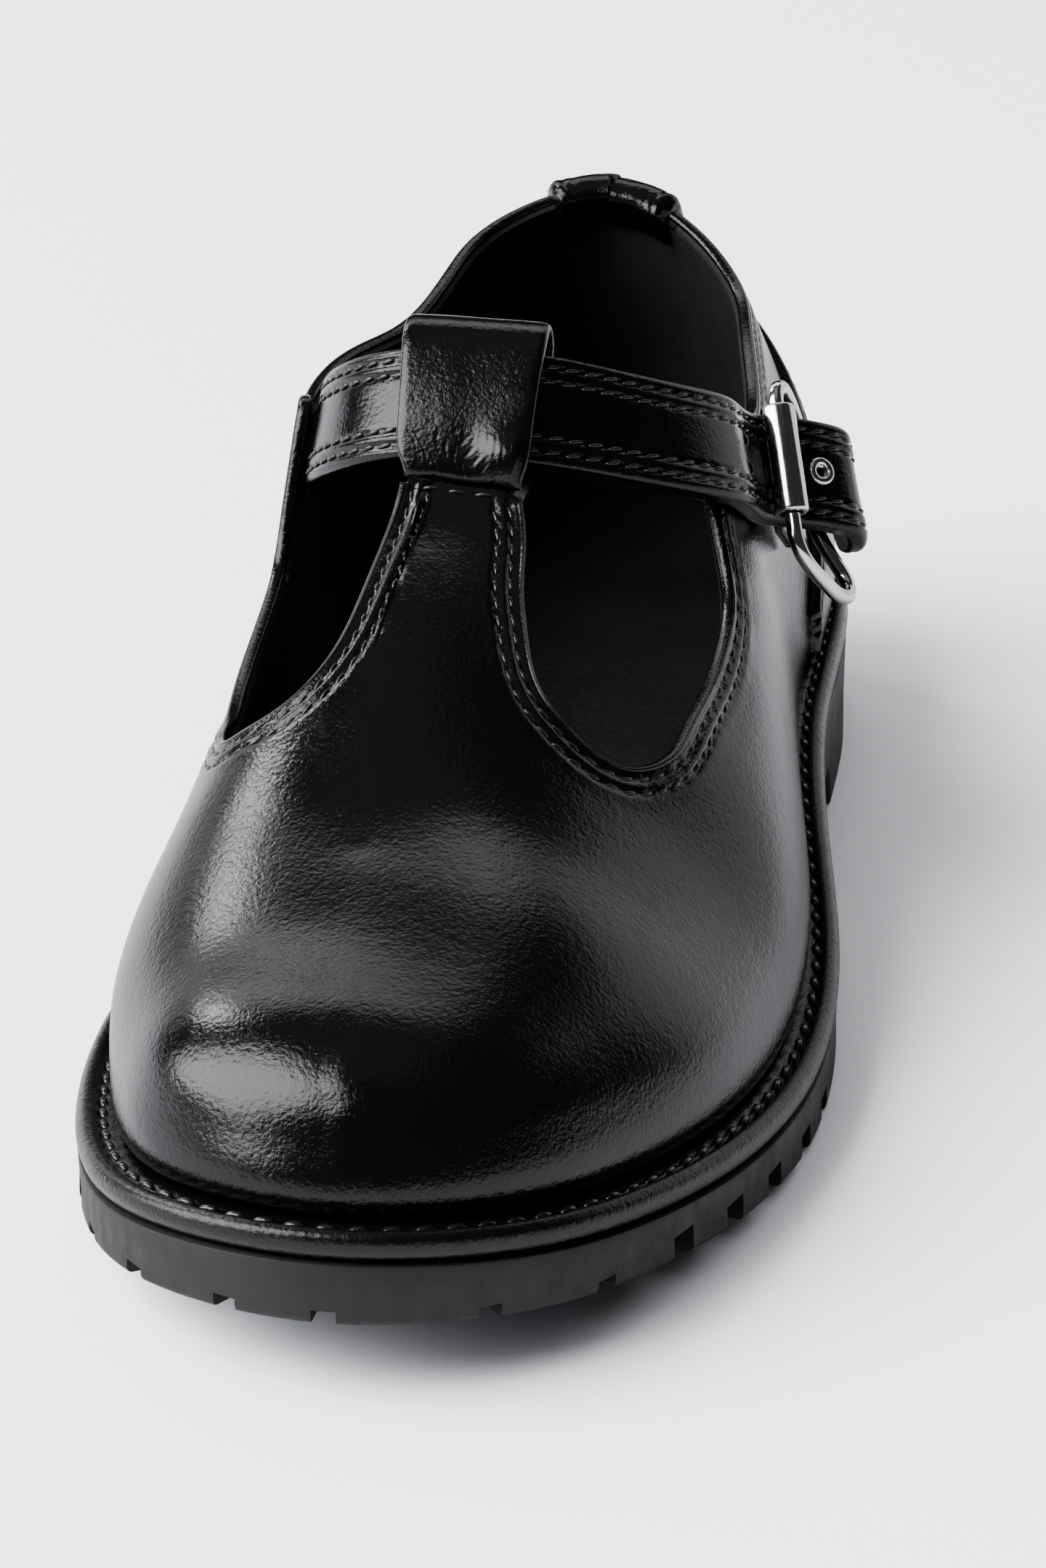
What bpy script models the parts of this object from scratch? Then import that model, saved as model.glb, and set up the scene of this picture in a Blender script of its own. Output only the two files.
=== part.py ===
"""Child's T-strap shoe for the left foot: welted leather upper on a lugged rubber sole.

Lengths in the tables are millimetres. from_heel runs from the back of the sole to its toe,
side is + towards the outer (lateral) edge, and height is above the floor.
"""
import math

import bmesh
import bpy
import numpy as np
from mathutils import Vector
from mathutils.geometry import delaunay_2d_cdt

MM = 0.001
LENGTH = 186.0
GAP = 0.3

# Outline of the welt: from_heel, inner (medial) side, outer (lateral) side
WELT_WIDTHS = (
    (5.0, -15.8, 15.0),
    (18.0, -26.8, 27.2),
    (40.0, -29.8, 30.7),
    (62.0, -30.0, 30.8),
    (86.0, -30.4, 33.6),
    (108.0, -34.2, 36.9),
    (130.0, -37.3, 36.7),
    (150.0, -35.8, 31.9),
    (167.0, -31.0, 23.9),
    (179.0, -22.4, 14.0),
)
HEEL_TIP = (0.0, -0.5)
TOE_TIP = (LENGTH, -4.0)

# How far the welt stands out from the upper: from_heel, reach
WELT_REACH = ((0, 2.8), (40, 3.3), (90, 3.6), (130, 3.8), (LENGTH, 4.2))
# Top of the outsole: from_heel, height
SOLE_TOP = (
    (0, 15.5), (35, 15.2), (70, 13.6), (100, 9.4), (125, 7.2), (150, 8.6), (170, 12.0), (LENGTH, 15.7),
)
# Tread line in front of the heel: from_heel, height
TREAD_LINE = ((54, 6.4), (66, 6.0), (80, 3.4), (94, 0.8), (102, 0.0))
TOE_SPRING = ((118, 0.0), (130, 0.45), (150, 2.6), (170, 5.8), (LENGTH, 8.8))
HEEL_BREAST = (49.5, 53.0)

FEATHER_RISE = 3.3
WELT_FLAT = 2.9
WELT_INNER = 3.2
BEAD_RADIUS = 1.6
WALL = 1.8

# Ridge of the last: from_heel, side
RIDGE_SIDE = (
    (0, -2.4), (30, -2.8), (60, -4.0), (95, -6.0), (110, -8.0), (125, -9.0), (150, -7.0), (LENGTH, -6.0),
)
# Ridge of the last: from_heel, height
RIDGE_HEIGHT = (
    (0, 80.0), (30, 78.0), (49, 86.0), (77, 92.0), (90, 78.0), (101.6, 61.5),
    (112, 56.0), (122, 51.8), (131, 46.2), (139, 40.6), (148, 38.0), (LENGTH, 37.2),
)
# Fullness of the cross-section: from_heel, exponent
FULL_INNER = (
    (0, 2.6), (6, 2.2), (15, 1.8), (30, 1.55), (42, 1.75), (58, 2.8), (80, 2.6), (100, 2.65),
    (110, 2.05), (120, 1.92), (128, 1.92), (138, 2.15), (150, 2.3), (168, 2.5), (LENGTH, 2.7),
)
FULL_OUTER = (
    (0, 2.6), (6, 2.05), (15, 1.6), (30, 1.42), (48, 1.4), (80, 1.45), (92, 1.52),
    (102, 1.65), (117, 1.6), (128, 1.5), (150, 2.0), (172, 2.6), (LENGTH, 2.7),
)
# Swell of the wall just above the welt: from_heel, amount
SWELL_INNER = ((0, 1.6), (30, 1.4), (60, 3.4), (90, 1.5), (112, 0.5), (135, 0.5), (160, 0.9), (LENGTH, 1.4))
SWELL_OUTER = ((0, 1.6), (60, 1.2), (110, 1.4), (LENGTH, 1.4))
# Height above the welt at which the swell is fullest: from_heel, height
SWELL_HEIGHT = ((0, 10), (30, 12), (60, 20), (90, 16), (120, 11), (LENGTH, 10))
HEEL_FAN = 27.0
TOE_FAN = 146.0
FAN_SOFTNESS = 6.0
FLATTEN = 0.6

# Edge of the collar, cut-outs and T-bar, round from the heel: from_heel, share of the way up the rib
OUTER_EDGE = (
    (0, 0.47), (5, 0.464), (16.7, 0.447), (29.4, 0.44), (40, 0.39), (47.9, 0.35), (57.9, 0.35),
    (68, 0.385), (78, 0.425), (84.5, 0.425), (88.5, 0.39), (91.5, 0.375), (95.5, 0.39), (101.5, 0.43),
    (110.5, 0.47), (117.5, 0.49), (122.8, 0.55), (124.4, 0.61), (123.9, 0.68), (121.3, 0.75),
    (116.9, 0.785), (112.2, 0.81), (107.4, 0.825), (103.0, 0.85),
)
INNER_EDGE = (
    (103.0, 0.90), (111.9, 0.905), (122, 0.885), (126.3, 0.83), (128.3, 0.75), (128.2, 0.67), (127.2, 0.60),
    (125.2, 0.535), (119.5, 0.455), (111.9, 0.38), (99.9, 0.305), (91.2, 0.262), (85.5, 0.255), (82.6, 0.29),
    (80.5, 0.325), (78.4, 0.35), (76, 0.345), (68, 0.30), (58.3, 0.30), (48.5, 0.34), (39.3, 0.405),
    (28, 0.47), (13.1, 0.472), (5.5, 0.468),
)

# Top edge of the heel counter: from_heel, share of the way up the rib
COUNTER_EDGE = ((0, 0.375), (4, 0.36), (12, 0.31), (22, 0.245), (34, 0.16), (44, 0.075), (49, 0.03))
COUNTER_FRONT = 49.0
COUNTER_FOOT = 0.009
COUNTER_THICKNESS = 0.9
BINDING_END = 5.2
BINDING_DROP_OUT = 0.06
BINDING_DROP_IN = 0.055
BINDING_THICKNESS = 0.9
BINDING_GAP = 0.4

STRAP_WIDTH = 12.4
STRAP_THICKNESS = 2.4
STRAP_CORNER = 0.7
STRAP_TIP_ROUND = 6.0
# Middle of the strap from the inner quarter to its tip: from_heel, side, height, then
# how its upper edge leans towards the heel and towards the outer side
STRAP_LINE = (
    (70.5, -23.9, 51.4, 0.45, 0.10),
    (77.0, -23.3, 53.9, 0.47, 0.10),
    (83.5, -21.8, 57.5, 0.52, 0.10),
    (90.8, -16.8, 62.4, 0.60, 0.05),
    (93.8, -10.5, 64.9, 0.64, 0.02),
    (94.4, -4.4, 65.4, 0.65, 0.00),
    (94.0, 2.6, 64.9, 0.65, -0.06),
    (90.8, 10.2, 62.5, 0.65, -0.16),
    (86.0, 17.2, 59.4, 0.63, -0.24),
    (80.0, 21.4, 55.9, 0.60, -0.26),
    (73.3, 23.4, 51.5, 0.57, -0.25),
)
# Free end of the strap, as back from the roller, down along it and out from the buckle's plane
TAIL_LINE = (
    (4.4, 0.2, -1.2), (8.0, 0.6, 0.9), (10.6, 0.9, 1.65), (12.9, 1.2, 0.9), (15.6, 1.6, -1.0),
    (18.2, 2.0, -2.9),
)

LOOP_SIDE = -4.4
LOOP_THICKNESS = 1.6
# Loop from the cross seam, over the strap and back under the T-bar: from_heel, height,
# width, and how much of the T-bar's crosswise curve it keeps
LOOP_LINE = (
    (102.25, 60.0, 13.9, 1.0),
    (101.2, 61.8, 14.0, 0.85),
    (99.4, 64.6, 14.2, 0.6),
    (96.8, 67.9, 14.5, 0.4),
    (94.4, 70.5, 14.9, 0.3),
    (92.2, 72.3, 15.2, 0.25),
    (89.8, 72.6, 15.2, 0.25),
    (87.6, 71.1, 15.2, 0.25),
    (87.2, 68.7, 15.0, 0.25),
    (88.5, 66.3, 14.6, 0.3),
    (91.5, 62.9, 14.0, 0.4),
    (94.7, 59.3, 13.4, 0.6),
    (96.8, 57.8, 13.0, 0.8),
    (99.4, 57.4, 12.6, 1.0),
    (101.8, 56.9, 12.2, 1.0),
    (103.8, 55.8, 12.0, 1.0),
    (105.8, 54.6, 11.8, 1.0),
)

# The buckle lies in a plane through its roller
BUCKLE_CENTRE = (74.0, 26.5, 53.0)
BUCKLE_BACK = (-0.767, 0.393, -0.503)
BUCKLE_DOWN = (0.571, 0.236, -0.786)
FRAME_WIRE = 0.85
# D-shaped frame, as back from the roller, down along it and out from its plane
FRAME_LINE = (
    (0.0, 3.6, 0.0), (0.0, 0.0, 0.0), (0.0, -3.6, 0.0), (0.0, -7.3, 0.0), (1.3, -8.6, 0.0),
    (4.2, -8.0, -0.6), (7.8, -6.3, -1.7), (9.9, -3.4, -2.3), (10.2, -0.5, -2.4), (10.2, 2.2, -2.4),
    (10.3, 4.9, -2.3), (11.3, 8.2, -1.5), (12.2, 11.2, -0.5), (11.2, 13.2, 0.0), (8.6, 13.6, 0.0),
    (5.4, 12.7, 0.0), (2.0, 11.2, 0.0), (0.3, 9.4, 0.0), (0.0, 7.3, 0.0),
)
ROLLER_BORE = 1.25
ROLLER_RADIUS = 1.9
ROLLER_HALF_LENGTH = 6.1

CHAPE_WIDTH = 6.4
CHAPE_CENTRE = 0.85
CHAPE_THICKNESS = 1.1
# Folded tab that holds the buckle's back bar: back from the roller, out from the buckle's plane
CHAPE_LINE = (
    (17.6, -9.2), (14.4, -8.2), (11.6, -7.3), (9.9, -6.3), (8.8, -4.5), (8.45, -2.4),
    (9.1, -0.9), (10.2, -0.5), (11.4, -1.0), (11.95, -2.4), (11.7, -4.2), (12.4, -5.6),
    (14.4, -6.5), (16.8, -7.3),
)

EYELET_BACK = 6.6
EYELET_HOLE = 1.2

# Slots in the edge of the tread: from_heel, side sign, width, height, depth
NOTCHES = (
    (161.0, 1, 3.4, 3.0, 8.0),
    (152.0, 1, 3.4, 3.0, 8.0),
    (143.0, 1, 3.4, 3.0, 8.0),
    (133.0, 1, 3.4, 3.0, 8.0),
    (124.0, 1, 3.4, 3.0, 8.0),
    (160.0, -1, 3.4, 3.0, 8.0),
    (152.0, -1, 3.4, 3.0, 8.0),
    (143.5, -1, 3.4, 3.0, 8.0),
    (135.0, -1, 3.4, 3.0, 8.0),
    (126.0, -1, 3.4, 3.0, 8.0),
    (117.0, -1, 3.4, 3.0, 8.0),
    (107.0, -1, 3.4, 3.0, 8.0),
    (LENGTH, 1, 2.4, 1.6, 4.0),
    (184.0, -1, 2.4, 1.6, 4.0),
    (177.5, -1, 2.4, 1.6, 4.0),
    (168.5, -1, 2.4, 1.6, 4.0),
    (181.0, 1, 2.4, 1.6, 4.0),
    (171.5, 1, 2.4, 1.6, 4.0),
)

OUTLINE_POINTS = 2880
STATIONS = 46
UPPER_SPACING = 4.9
FEATHER_SPACING = 4.4
EDGE_SPACING = 2.8

LEATHER = ((0.012, 0.012, 0.013, 1.0), 0.0, 0.28)
LINING = ((0.014, 0.014, 0.014, 1.0), 0.0, 0.75)
RUBBER = ((0.022, 0.022, 0.023, 1.0), 0.0, 0.62)
METAL = ((0.78, 0.77, 0.75, 1.0), 1.0, 0.18)


def spline(table, at):
    """Height of the smooth curve through a two-column table."""
    rows = np.asarray(table, float)
    x, y = rows[:, 0], rows[:, 1]
    count = len(x)
    step = np.diff(x)
    matrix = np.eye(count)
    right = np.zeros(count)
    for i in range(1, count - 1):
        matrix[i, i - 1] = step[i - 1]
        matrix[i, i] = 2 * (step[i - 1] + step[i])
        matrix[i, i + 1] = step[i]
        right[i] = 6 * ((y[i + 1] - y[i]) / step[i] - (y[i] - y[i - 1]) / step[i - 1])
    matrix[0, 1] = -1
    matrix[-1, -2] = -1
    bend = np.linalg.solve(matrix, right)
    at = np.clip(np.asarray(at, float), x[0], x[-1])
    k = np.clip(np.searchsorted(x, at, side="right") - 1, 0, count - 2)
    after = x[k + 1] - at
    before = at - x[k]
    span = step[k]
    curve = (bend[k] * after**3 + bend[k + 1] * before**3) / (6 * span)
    return (
        curve
        + (y[k] / span - bend[k] * span / 6) * after
        + (y[k + 1] / span - bend[k + 1] * span / 6) * before
    )


def open_curve(points, count):
    """Smooth open curve through the points, one row per sample."""
    points = np.asarray(points, float)
    chord = np.linalg.norm(np.diff(points[:, :3], axis=0), axis=1) ** 0.7
    place = np.concatenate([[0.0], np.cumsum(chord)])
    at = np.linspace(0.0, place[-1], count)
    columns = [spline(np.stack([place, column], 1), at) for column in points.T]
    return np.stack(columns, 1)


def closed_curve(points, count):
    """Smooth closed curve through the points, one row per sample."""
    points = np.asarray(points, float)
    total = len(points)
    wrapped = np.concatenate([points[-4:], points, points[:5]])
    chord = np.linalg.norm(np.diff(wrapped, axis=0), axis=1) ** 0.5
    place = np.concatenate([[0.0], np.cumsum(chord)])
    at = place[4] + (place[4 + total] - place[4]) * np.arange(count) / count
    columns = [spline(np.stack([place, column], 1), at) for column in wrapped.T]
    return np.stack(columns, 1)


def even_spacing(curve, spacing):
    """The same open curve with its points an even distance apart."""
    along = np.concatenate([[0.0], np.cumsum(np.linalg.norm(np.diff(curve, axis=0), axis=1))])
    count = max(2, int(round(along[-1] / spacing)) + 1)
    at = np.linspace(0.0, along[-1], count)
    return np.stack([np.interp(at, along, column) for column in curve.T], 1)


def unit(vectors):
    """Vectors scaled to a length of one."""
    vectors = np.asarray(vectors, float)
    return vectors / np.linalg.norm(vectors, axis=-1, keepdims=True)


# ---------------------------------------------------------------- bodies


def add_body(name, points, faces, look):
    """Make one closed body from points given as from_heel, side and height."""
    points = np.asarray(points, float)
    placed = np.stack([points[:, 1], LENGTH / 2 - points[:, 0], points[:, 2]], 1) * MM
    mesh = bpy.data.meshes.new(name)
    mesh.from_pydata(placed.tolist(), [], [tuple(int(i) for i in face) for face in faces])
    work = bmesh.new()
    work.from_mesh(mesh)
    bmesh.ops.triangulate(work, faces=work.faces[:])
    bmesh.ops.recalc_face_normals(work, faces=work.faces[:])
    work.to_mesh(mesh)
    work.free()
    body = bpy.data.objects.new(name, mesh)
    bpy.context.collection.objects.link(body)
    if look is not None:
        mesh.materials.append(add_material(name, look))
    return body


def add_material(name, look):
    """Plain material for one body."""
    colour, metallic, roughness = look
    material = bpy.data.materials.new(name)
    material.use_nodes = True
    shader = material.node_tree.nodes["Principled BSDF"]
    shader.inputs["Base Color"].default_value = colour
    shader.inputs["Metallic"].default_value = metallic
    shader.inputs["Roughness"].default_value = roughness
    return material


def add_cutter(name, points, faces):
    """Hidden body used only to cut another one."""
    cutter = add_body(name, points, faces, None)
    cutter.hide_render = True
    cutter.display_type = "WIRE"
    return cutter


def cut(body, cutter):
    """Take a cutter away from a body with an exact boolean."""
    boolean = body.modifiers.new(cutter.name, "BOOLEAN")
    boolean.operation = "DIFFERENCE"
    boolean.solver = "EXACT"
    boolean.object = cutter


def grid_faces(rows, columns, closed_rows=False, closed_columns=False):
    """Four-sided faces over a grid of points."""
    faces = []
    for i in range(rows if closed_rows else rows - 1):
        for j in range(columns if closed_columns else columns - 1):
            this_row = i * columns
            next_row = ((i + 1) % rows) * columns
            beside = (j + 1) % columns
            faces.append((this_row + j, this_row + beside, next_row + beside, next_row + j))
    return faces


def thick_sheet(outer, inner):
    """Points and faces of a sheet between two grids."""
    rows, columns = outer.shape[:2]
    half = rows * columns
    faces = grid_faces(rows, columns)
    faces += [tuple(half + i for i in face[::-1]) for face in faces]
    index = np.arange(half).reshape(rows, columns)
    rim = np.concatenate([index[0], index[1:, -1], index[-1, -2::-1], index[-2:0:-1, 0]])
    for i, j in zip(rim, np.roll(rim, -1)):
        faces.append((i, j, half + j, half + i))
    return np.concatenate([outer.reshape(-1, 3), inner.reshape(-1, 3)]), faces


def capped_stack(rings):
    """Points and faces of a stack of outline rings with strips across both ends."""
    rings = np.asarray(rings, float)
    count, around = rings.shape[:2]
    faces = grid_faces(count, around, closed_columns=True)
    for first in (0, (count - 1) * around):
        faces += [tuple(first + i for i in face) for face in strip_cap(around)]
    return rings.reshape(-1, 3), faces


def strip_cap(around):
    """Faces straight across an outline that starts at the heel and turns at the toe."""
    middle = around // 2
    faces = [(0, 1, around - 1), (middle - 1, middle, middle + 1)]
    faces += [(i, i + 1, around - i - 1, around - i) for i in range(1, middle - 1)]
    return faces


def swept_tube(centres, across, out, section, closed):
    """Points and faces of a section carried along a line."""
    section = np.asarray(section, float)
    rings = centres[:, None] + across[:, None] * section[None, :, :1] + out[:, None] * section[None, :, 1:]
    count, around = rings.shape[:2]
    faces = grid_faces(count, around, closed_rows=closed, closed_columns=True)
    if not closed:
        faces.append(tuple(range(around)))
        faces.append(tuple((count - 1) * around + i for i in reversed(range(around))))
    return rings.reshape(-1, 3), faces


# ---------------------------------------------------------------- outline of the shoe


def welt_outline():
    """Dense outline from the heel round the outer side, with its outward normals."""
    outer = [(row[0], row[2]) for row in WELT_WIDTHS]
    inner = [(row[0], row[1]) for row in WELT_WIDTHS]
    loop = closed_curve([HEEL_TIP, *outer, TOE_TIP, *inner[::-1]], OUTLINE_POINTS)
    loop = np.roll(loop, -int(np.argmin(loop[:, 0])), axis=0)
    run = unit(np.roll(loop, -1, axis=0) - np.roll(loop, 1, axis=0))
    return loop, np.stack([-run[:, 1], run[:, 0]], 1)


def stations():
    """Distances from the heel of the outline rows, closer at the two ends."""
    even = LENGTH / 2 * (1 - np.cos(np.pi * np.arange(STATIONS + 1) / STATIONS))
    clear = [row for row in even if min(abs(row - edge) for edge in HEEL_BREAST) > 1.2]
    return np.array(sorted([*clear, *HEEL_BREAST]))


def outline_rows():
    """Outline points and normals with a matching pair at every station."""
    loop, normal = welt_outline()
    toe = int(np.argmax(loop[:, 0]))
    rows = stations()
    outer = np.interp(rows, loop[: toe + 1, 0], np.arange(toe + 1))
    back = np.arange(len(loop) - 1, toe - 1, -1)
    inner = np.interp(rows[1:-1], loop[back, 0], back)[::-1]
    at = np.concatenate([outer, inner])
    index = np.arange(len(loop))
    points = np.stack([np.interp(at, index, column) for column in loop.T], 1)
    normals = unit(np.stack([np.interp(at, index, column) for column in normal.T], 1))
    return points, normals, np.concatenate([rows, rows[-2:0:-1]])


def ring(points, normals, inset, height):
    """Outline moved in by an inset and set at a height."""
    inset = np.broadcast_to(inset, len(points))
    height = np.broadcast_to(height, len(points))
    flat = points - normals * inset[:, None]
    return np.column_stack([flat, height])


def welt_ring(points, normals, inset, above):
    """Outline moved in by an inset and set above the top of the outsole."""
    flat = ring(points, normals, inset, 0.0)
    flat[:, 2] = spline(SOLE_TOP, flat[:, 0]) + above
    return flat


def tread_height(from_heel):
    """Underside of the sole: heel, breast, arch, flat tread and toe spring."""
    from_heel = np.asarray(from_heel, float)
    arch = spline(TREAD_LINE, np.clip(from_heel, 54.0, 102.0))
    rise = np.clip((from_heel - HEEL_BREAST[0]) / (HEEL_BREAST[1] - HEEL_BREAST[0]), 0.0, 1.0)
    spring = spline(TOE_SPRING, from_heel)
    return np.where(from_heel < 102.0, np.maximum(arch, 0.0) * rise, np.maximum(spring, 0.0))


# ---------------------------------------------------------------- shape of the last


def soft_clamp(values, low, high):
    """Hold values between two limits with rounded corners."""
    values = low + FAN_SOFTNESS * np.logaddexp(0.0, (values - low) / FAN_SOFTNESS)
    return high - FAN_SOFTNESS * np.logaddexp(0.0, (high - values) / FAN_SOFTNESS)


def feather_height(from_heel):
    """Bottom edge of the upper."""
    return spline(SOLE_TOP, from_heel) + FEATHER_RISE


def by_side(foot, inner, outer):
    """Value of the inner or the outer table at each foot point."""
    middle = np.interp(foot[:, 0], [0.0, LENGTH], [HEEL_TIP[1], TOE_TIP[1]])
    return np.where(foot[:, 1] > middle, spline(outer, foot[:, 0]), spline(inner, foot[:, 0]))


def rib_centre(foot):
    """Where the rib that starts at each foot point ends on the ridge."""
    from_heel = soft_clamp(foot[:, 0], HEEL_FAN, TOE_FAN)
    return np.stack([from_heel, spline(RIDGE_SIDE, from_heel)], 1)


def last_surface(foot, share):
    """Point on the last, a share of the way up the rib from each foot point."""
    centre = rib_centre(foot)
    low = feather_height(foot[:, 0])
    high = spline(RIDGE_HEIGHT, centre[:, 0])
    full = by_side(foot, FULL_INNER, FULL_OUTER)
    angle = np.clip(share, 0.0, 1.0) * np.pi / 2
    across = np.clip(np.cos(angle), 0.0, None)
    up = np.sin(angle)
    scale = (across**full + up**full) ** (-1.0 / full)
    climb = (high - low) * up * scale
    reach = foot - centre
    length = np.linalg.norm(reach, axis=1)
    swell_height = spline(SWELL_HEIGHT, foot[:, 0])
    swell = by_side(foot, SWELL_INNER, SWELL_OUTER) * climb / swell_height * np.exp(1 - climb / swell_height)
    out = across * scale + swell / length * np.minimum(1.0, across * scale * 4)
    return np.column_stack([centre + reach * out[:, None], low + climb])


def flat_place(foot, share):
    """The same point on a flattened pattern, used to lay out the triangles."""
    centre = rib_centre(foot)
    reach = foot - centre
    length = np.linalg.norm(reach, axis=1)
    rise = spline(RIDGE_HEIGHT, centre[:, 0]) - feather_height(foot[:, 0])
    stretch = (length + FLATTEN * rise) * (1 - share) / length
    return centre + reach * stretch[:, None]


class Feather:
    """Bottom line of the last, walked from the heel round the outer side."""

    def __init__(self):
        loop, normal = welt_outline()
        line = loop - normal * spline(WELT_REACH, loop[:, 0])[:, None]
        self.line = np.concatenate([line, line[:1]])
        self.along = np.concatenate([[0.0], np.cumsum(np.linalg.norm(np.diff(self.line, axis=0), axis=1))])
        self.toe = int(np.argmax(line[:, 0]))

    def foot(self, walk):
        """Feather point after walking a distance in millimetres."""
        walk = np.mod(walk, self.along[-1])
        return np.stack([np.interp(walk, self.along, column) for column in self.line.T], 1)

    def walk(self, from_heel, outer):
        """Walking distance of the point at a distance from the heel, on one side."""
        if outer:
            return np.interp(from_heel, self.line[: self.toe + 1, 0], self.along[: self.toe + 1])
        return np.interp(from_heel, self.line[: self.toe - 1 : -1, 0], self.along[: self.toe - 1 : -1])

    def point(self, walk, share):
        """Point on the last above a walked distance."""
        return last_surface(self.foot(walk), share)

    def normal(self, walk, share):
        """Outward direction of the last there."""
        ahead = self.point(walk + 0.3, share) - self.point(walk - 0.3, share)
        upward = self.point(walk, share + 0.004) - self.point(walk, share - 0.004)
        return unit(np.cross(upward, ahead))

    def edge(self, table, outer, count):
        """Smooth line on the last through table rows, as walk and share."""
        rows = np.asarray(table, float)
        walk = self.walk(rows[:, 0], outer)
        return open_curve(np.stack([walk, rows[:, 1] * 100.0], 1), count) * (1.0, 0.01)


# ---------------------------------------------------------------- sole, welt and insole


def build_outsole():
    """Rubber sole with heel, arch and toe spring, slotted along the tread's edge."""
    points, normals, rows = outline_rows()
    bottom = tread_height(rows)
    rings = [
        welt_ring(points, normals, 0.5, -0.15),
        welt_ring(points, normals, 0.15, -0.55),
        ring(points, normals, 0.15, bottom + 0.8),
        ring(points, normals, 0.8, bottom),
    ]
    sole = add_body("outsole", *capped_stack(rings), RUBBER)
    loop, normal = welt_outline()
    for number, notch in enumerate(NOTCHES):
        cut(sole, build_notch(number, notch, loop, normal))


def build_notch(number, notch, loop, normal):
    """Box that cuts one slot in the tread."""
    from_heel, sign, width, height, depth = notch
    toe = int(np.argmax(loop[:, 0]))
    half = np.arange(0, toe + 1) if sign > 0 else np.arange(len(loop) - 1, toe - 1, -1)
    place = half[int(np.argmin(abs(loop[half, 0] - from_heel)))]
    inward = -normal[place]
    beside = np.array([-inward[1], inward[0]])
    base = float(tread_height(from_heel))
    corners = []
    for level in (base - 3.0, base + height):
        for along, side in ((-4.0, -1), (depth, -1), (depth, 1), (-4.0, 1)):
            flat = loop[place] + inward * along + beside * side * width / 2
            corners.append((flat[0], flat[1], level))
    faces = [(0, 1, 2, 3), (4, 5, 6, 7), (0, 1, 5, 4), (1, 2, 6, 5), (2, 3, 7, 6), (3, 0, 4, 7)]
    return add_cutter(f"tread_slot_{number}", corners, faces)


def build_welt():
    """Band round the upper: a flat strip for the stitches and a half-round bead outside it."""
    points, normals, rows = outline_rows()
    reach = spline(WELT_REACH, rows)
    rings = [
        welt_ring(points, normals, reach + WELT_INNER, 0.15),
        welt_ring(points, normals, reach + WELT_INNER, WELT_FLAT),
        welt_ring(points, normals, 2.6, WELT_FLAT),
    ]
    for degrees in range(135, -61, -30):
        turn = math.radians(degrees)
        inset = BEAD_RADIUS * (1 - math.cos(turn))
        rings.append(welt_ring(points, normals, inset, 1.75 + BEAD_RADIUS * math.sin(turn)))
    rings.append(welt_ring(points, normals, 1.4, 0.15))
    rings = np.asarray(rings)
    faces = grid_faces(*rings.shape[:2], closed_rows=True, closed_columns=True)
    add_body("welt", rings.reshape(-1, 3), faces, LEATHER)


def build_insole():
    """Footbed that fills the welt and lies inside the upper."""
    points, normals, rows = outline_rows()
    reach = spline(WELT_REACH, rows)
    rings = [
        welt_ring(points, normals, reach + 3.6, 0.3),
        welt_ring(points, normals, reach + 3.6, 3.2),
        welt_ring(points, normals, reach + 2.3, 3.25),
        welt_ring(points, normals, reach + 2.3, 4.4),
        welt_ring(points, normals, reach + 3.0, 5.0),
        welt_ring(points, normals, reach + 9.0, 5.1),
    ]
    add_body("insole", *capped_stack(rings), LINING)


# ---------------------------------------------------------------- upper


def opening_edge(feather):
    """Edge of collar, cut-outs and T-bar as walk and share, closed."""
    outer = feather.edge(OUTER_EDGE, True, 400)
    inner = feather.edge(INNER_EDGE, False, 400)
    outer_top, inner_top = outer[-1], inner[0]
    across = [(outer_top[0], outer_top[1] + (1 - outer_top[1]) * k / 8) for k in range(1, 9)]
    across += [(inner_top[0], 1 + (inner_top[1] - 1) * k / 8) for k in range(1, 8)]
    whole = feather.along[-1]
    return [outer, np.array(across), np.concatenate([inner, [(whole, OUTER_EDGE[0][1])]])]


def spaced_edge(feather, spacing):
    """Opening edge with points an even distance apart on the last."""
    pieces = []
    for piece in opening_edge(feather):
        points = feather.point(piece[:, 0], piece[:, 1])
        along = np.concatenate([[0.0], np.cumsum(np.linalg.norm(np.diff(points, axis=0), axis=1))])
        count = max(3, int(round(along[-1] / spacing)) + 1)
        at = np.linspace(0.0, along[-1], count)
        pieces.append(np.stack([np.interp(at, along, column) for column in piece.T], 1))
    outer, across, inner = pieces
    return np.concatenate([outer, across[1:-1], inner[:-1]])


def inside(points, polygon):
    """Which flat points lie inside a closed polygon."""
    result = np.zeros(len(points), bool)
    following = np.roll(polygon, -1, axis=0)
    for (x0, y0), (x1, y1) in zip(polygon, following):
        crosses = (y0 > points[:, 1]) != (y1 > points[:, 1])
        if y0 != y1:
            result ^= crosses & (points[:, 0] < (x1 - x0) * (points[:, 1] - y0) / (y1 - y0) + x0)
    return result


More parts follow.
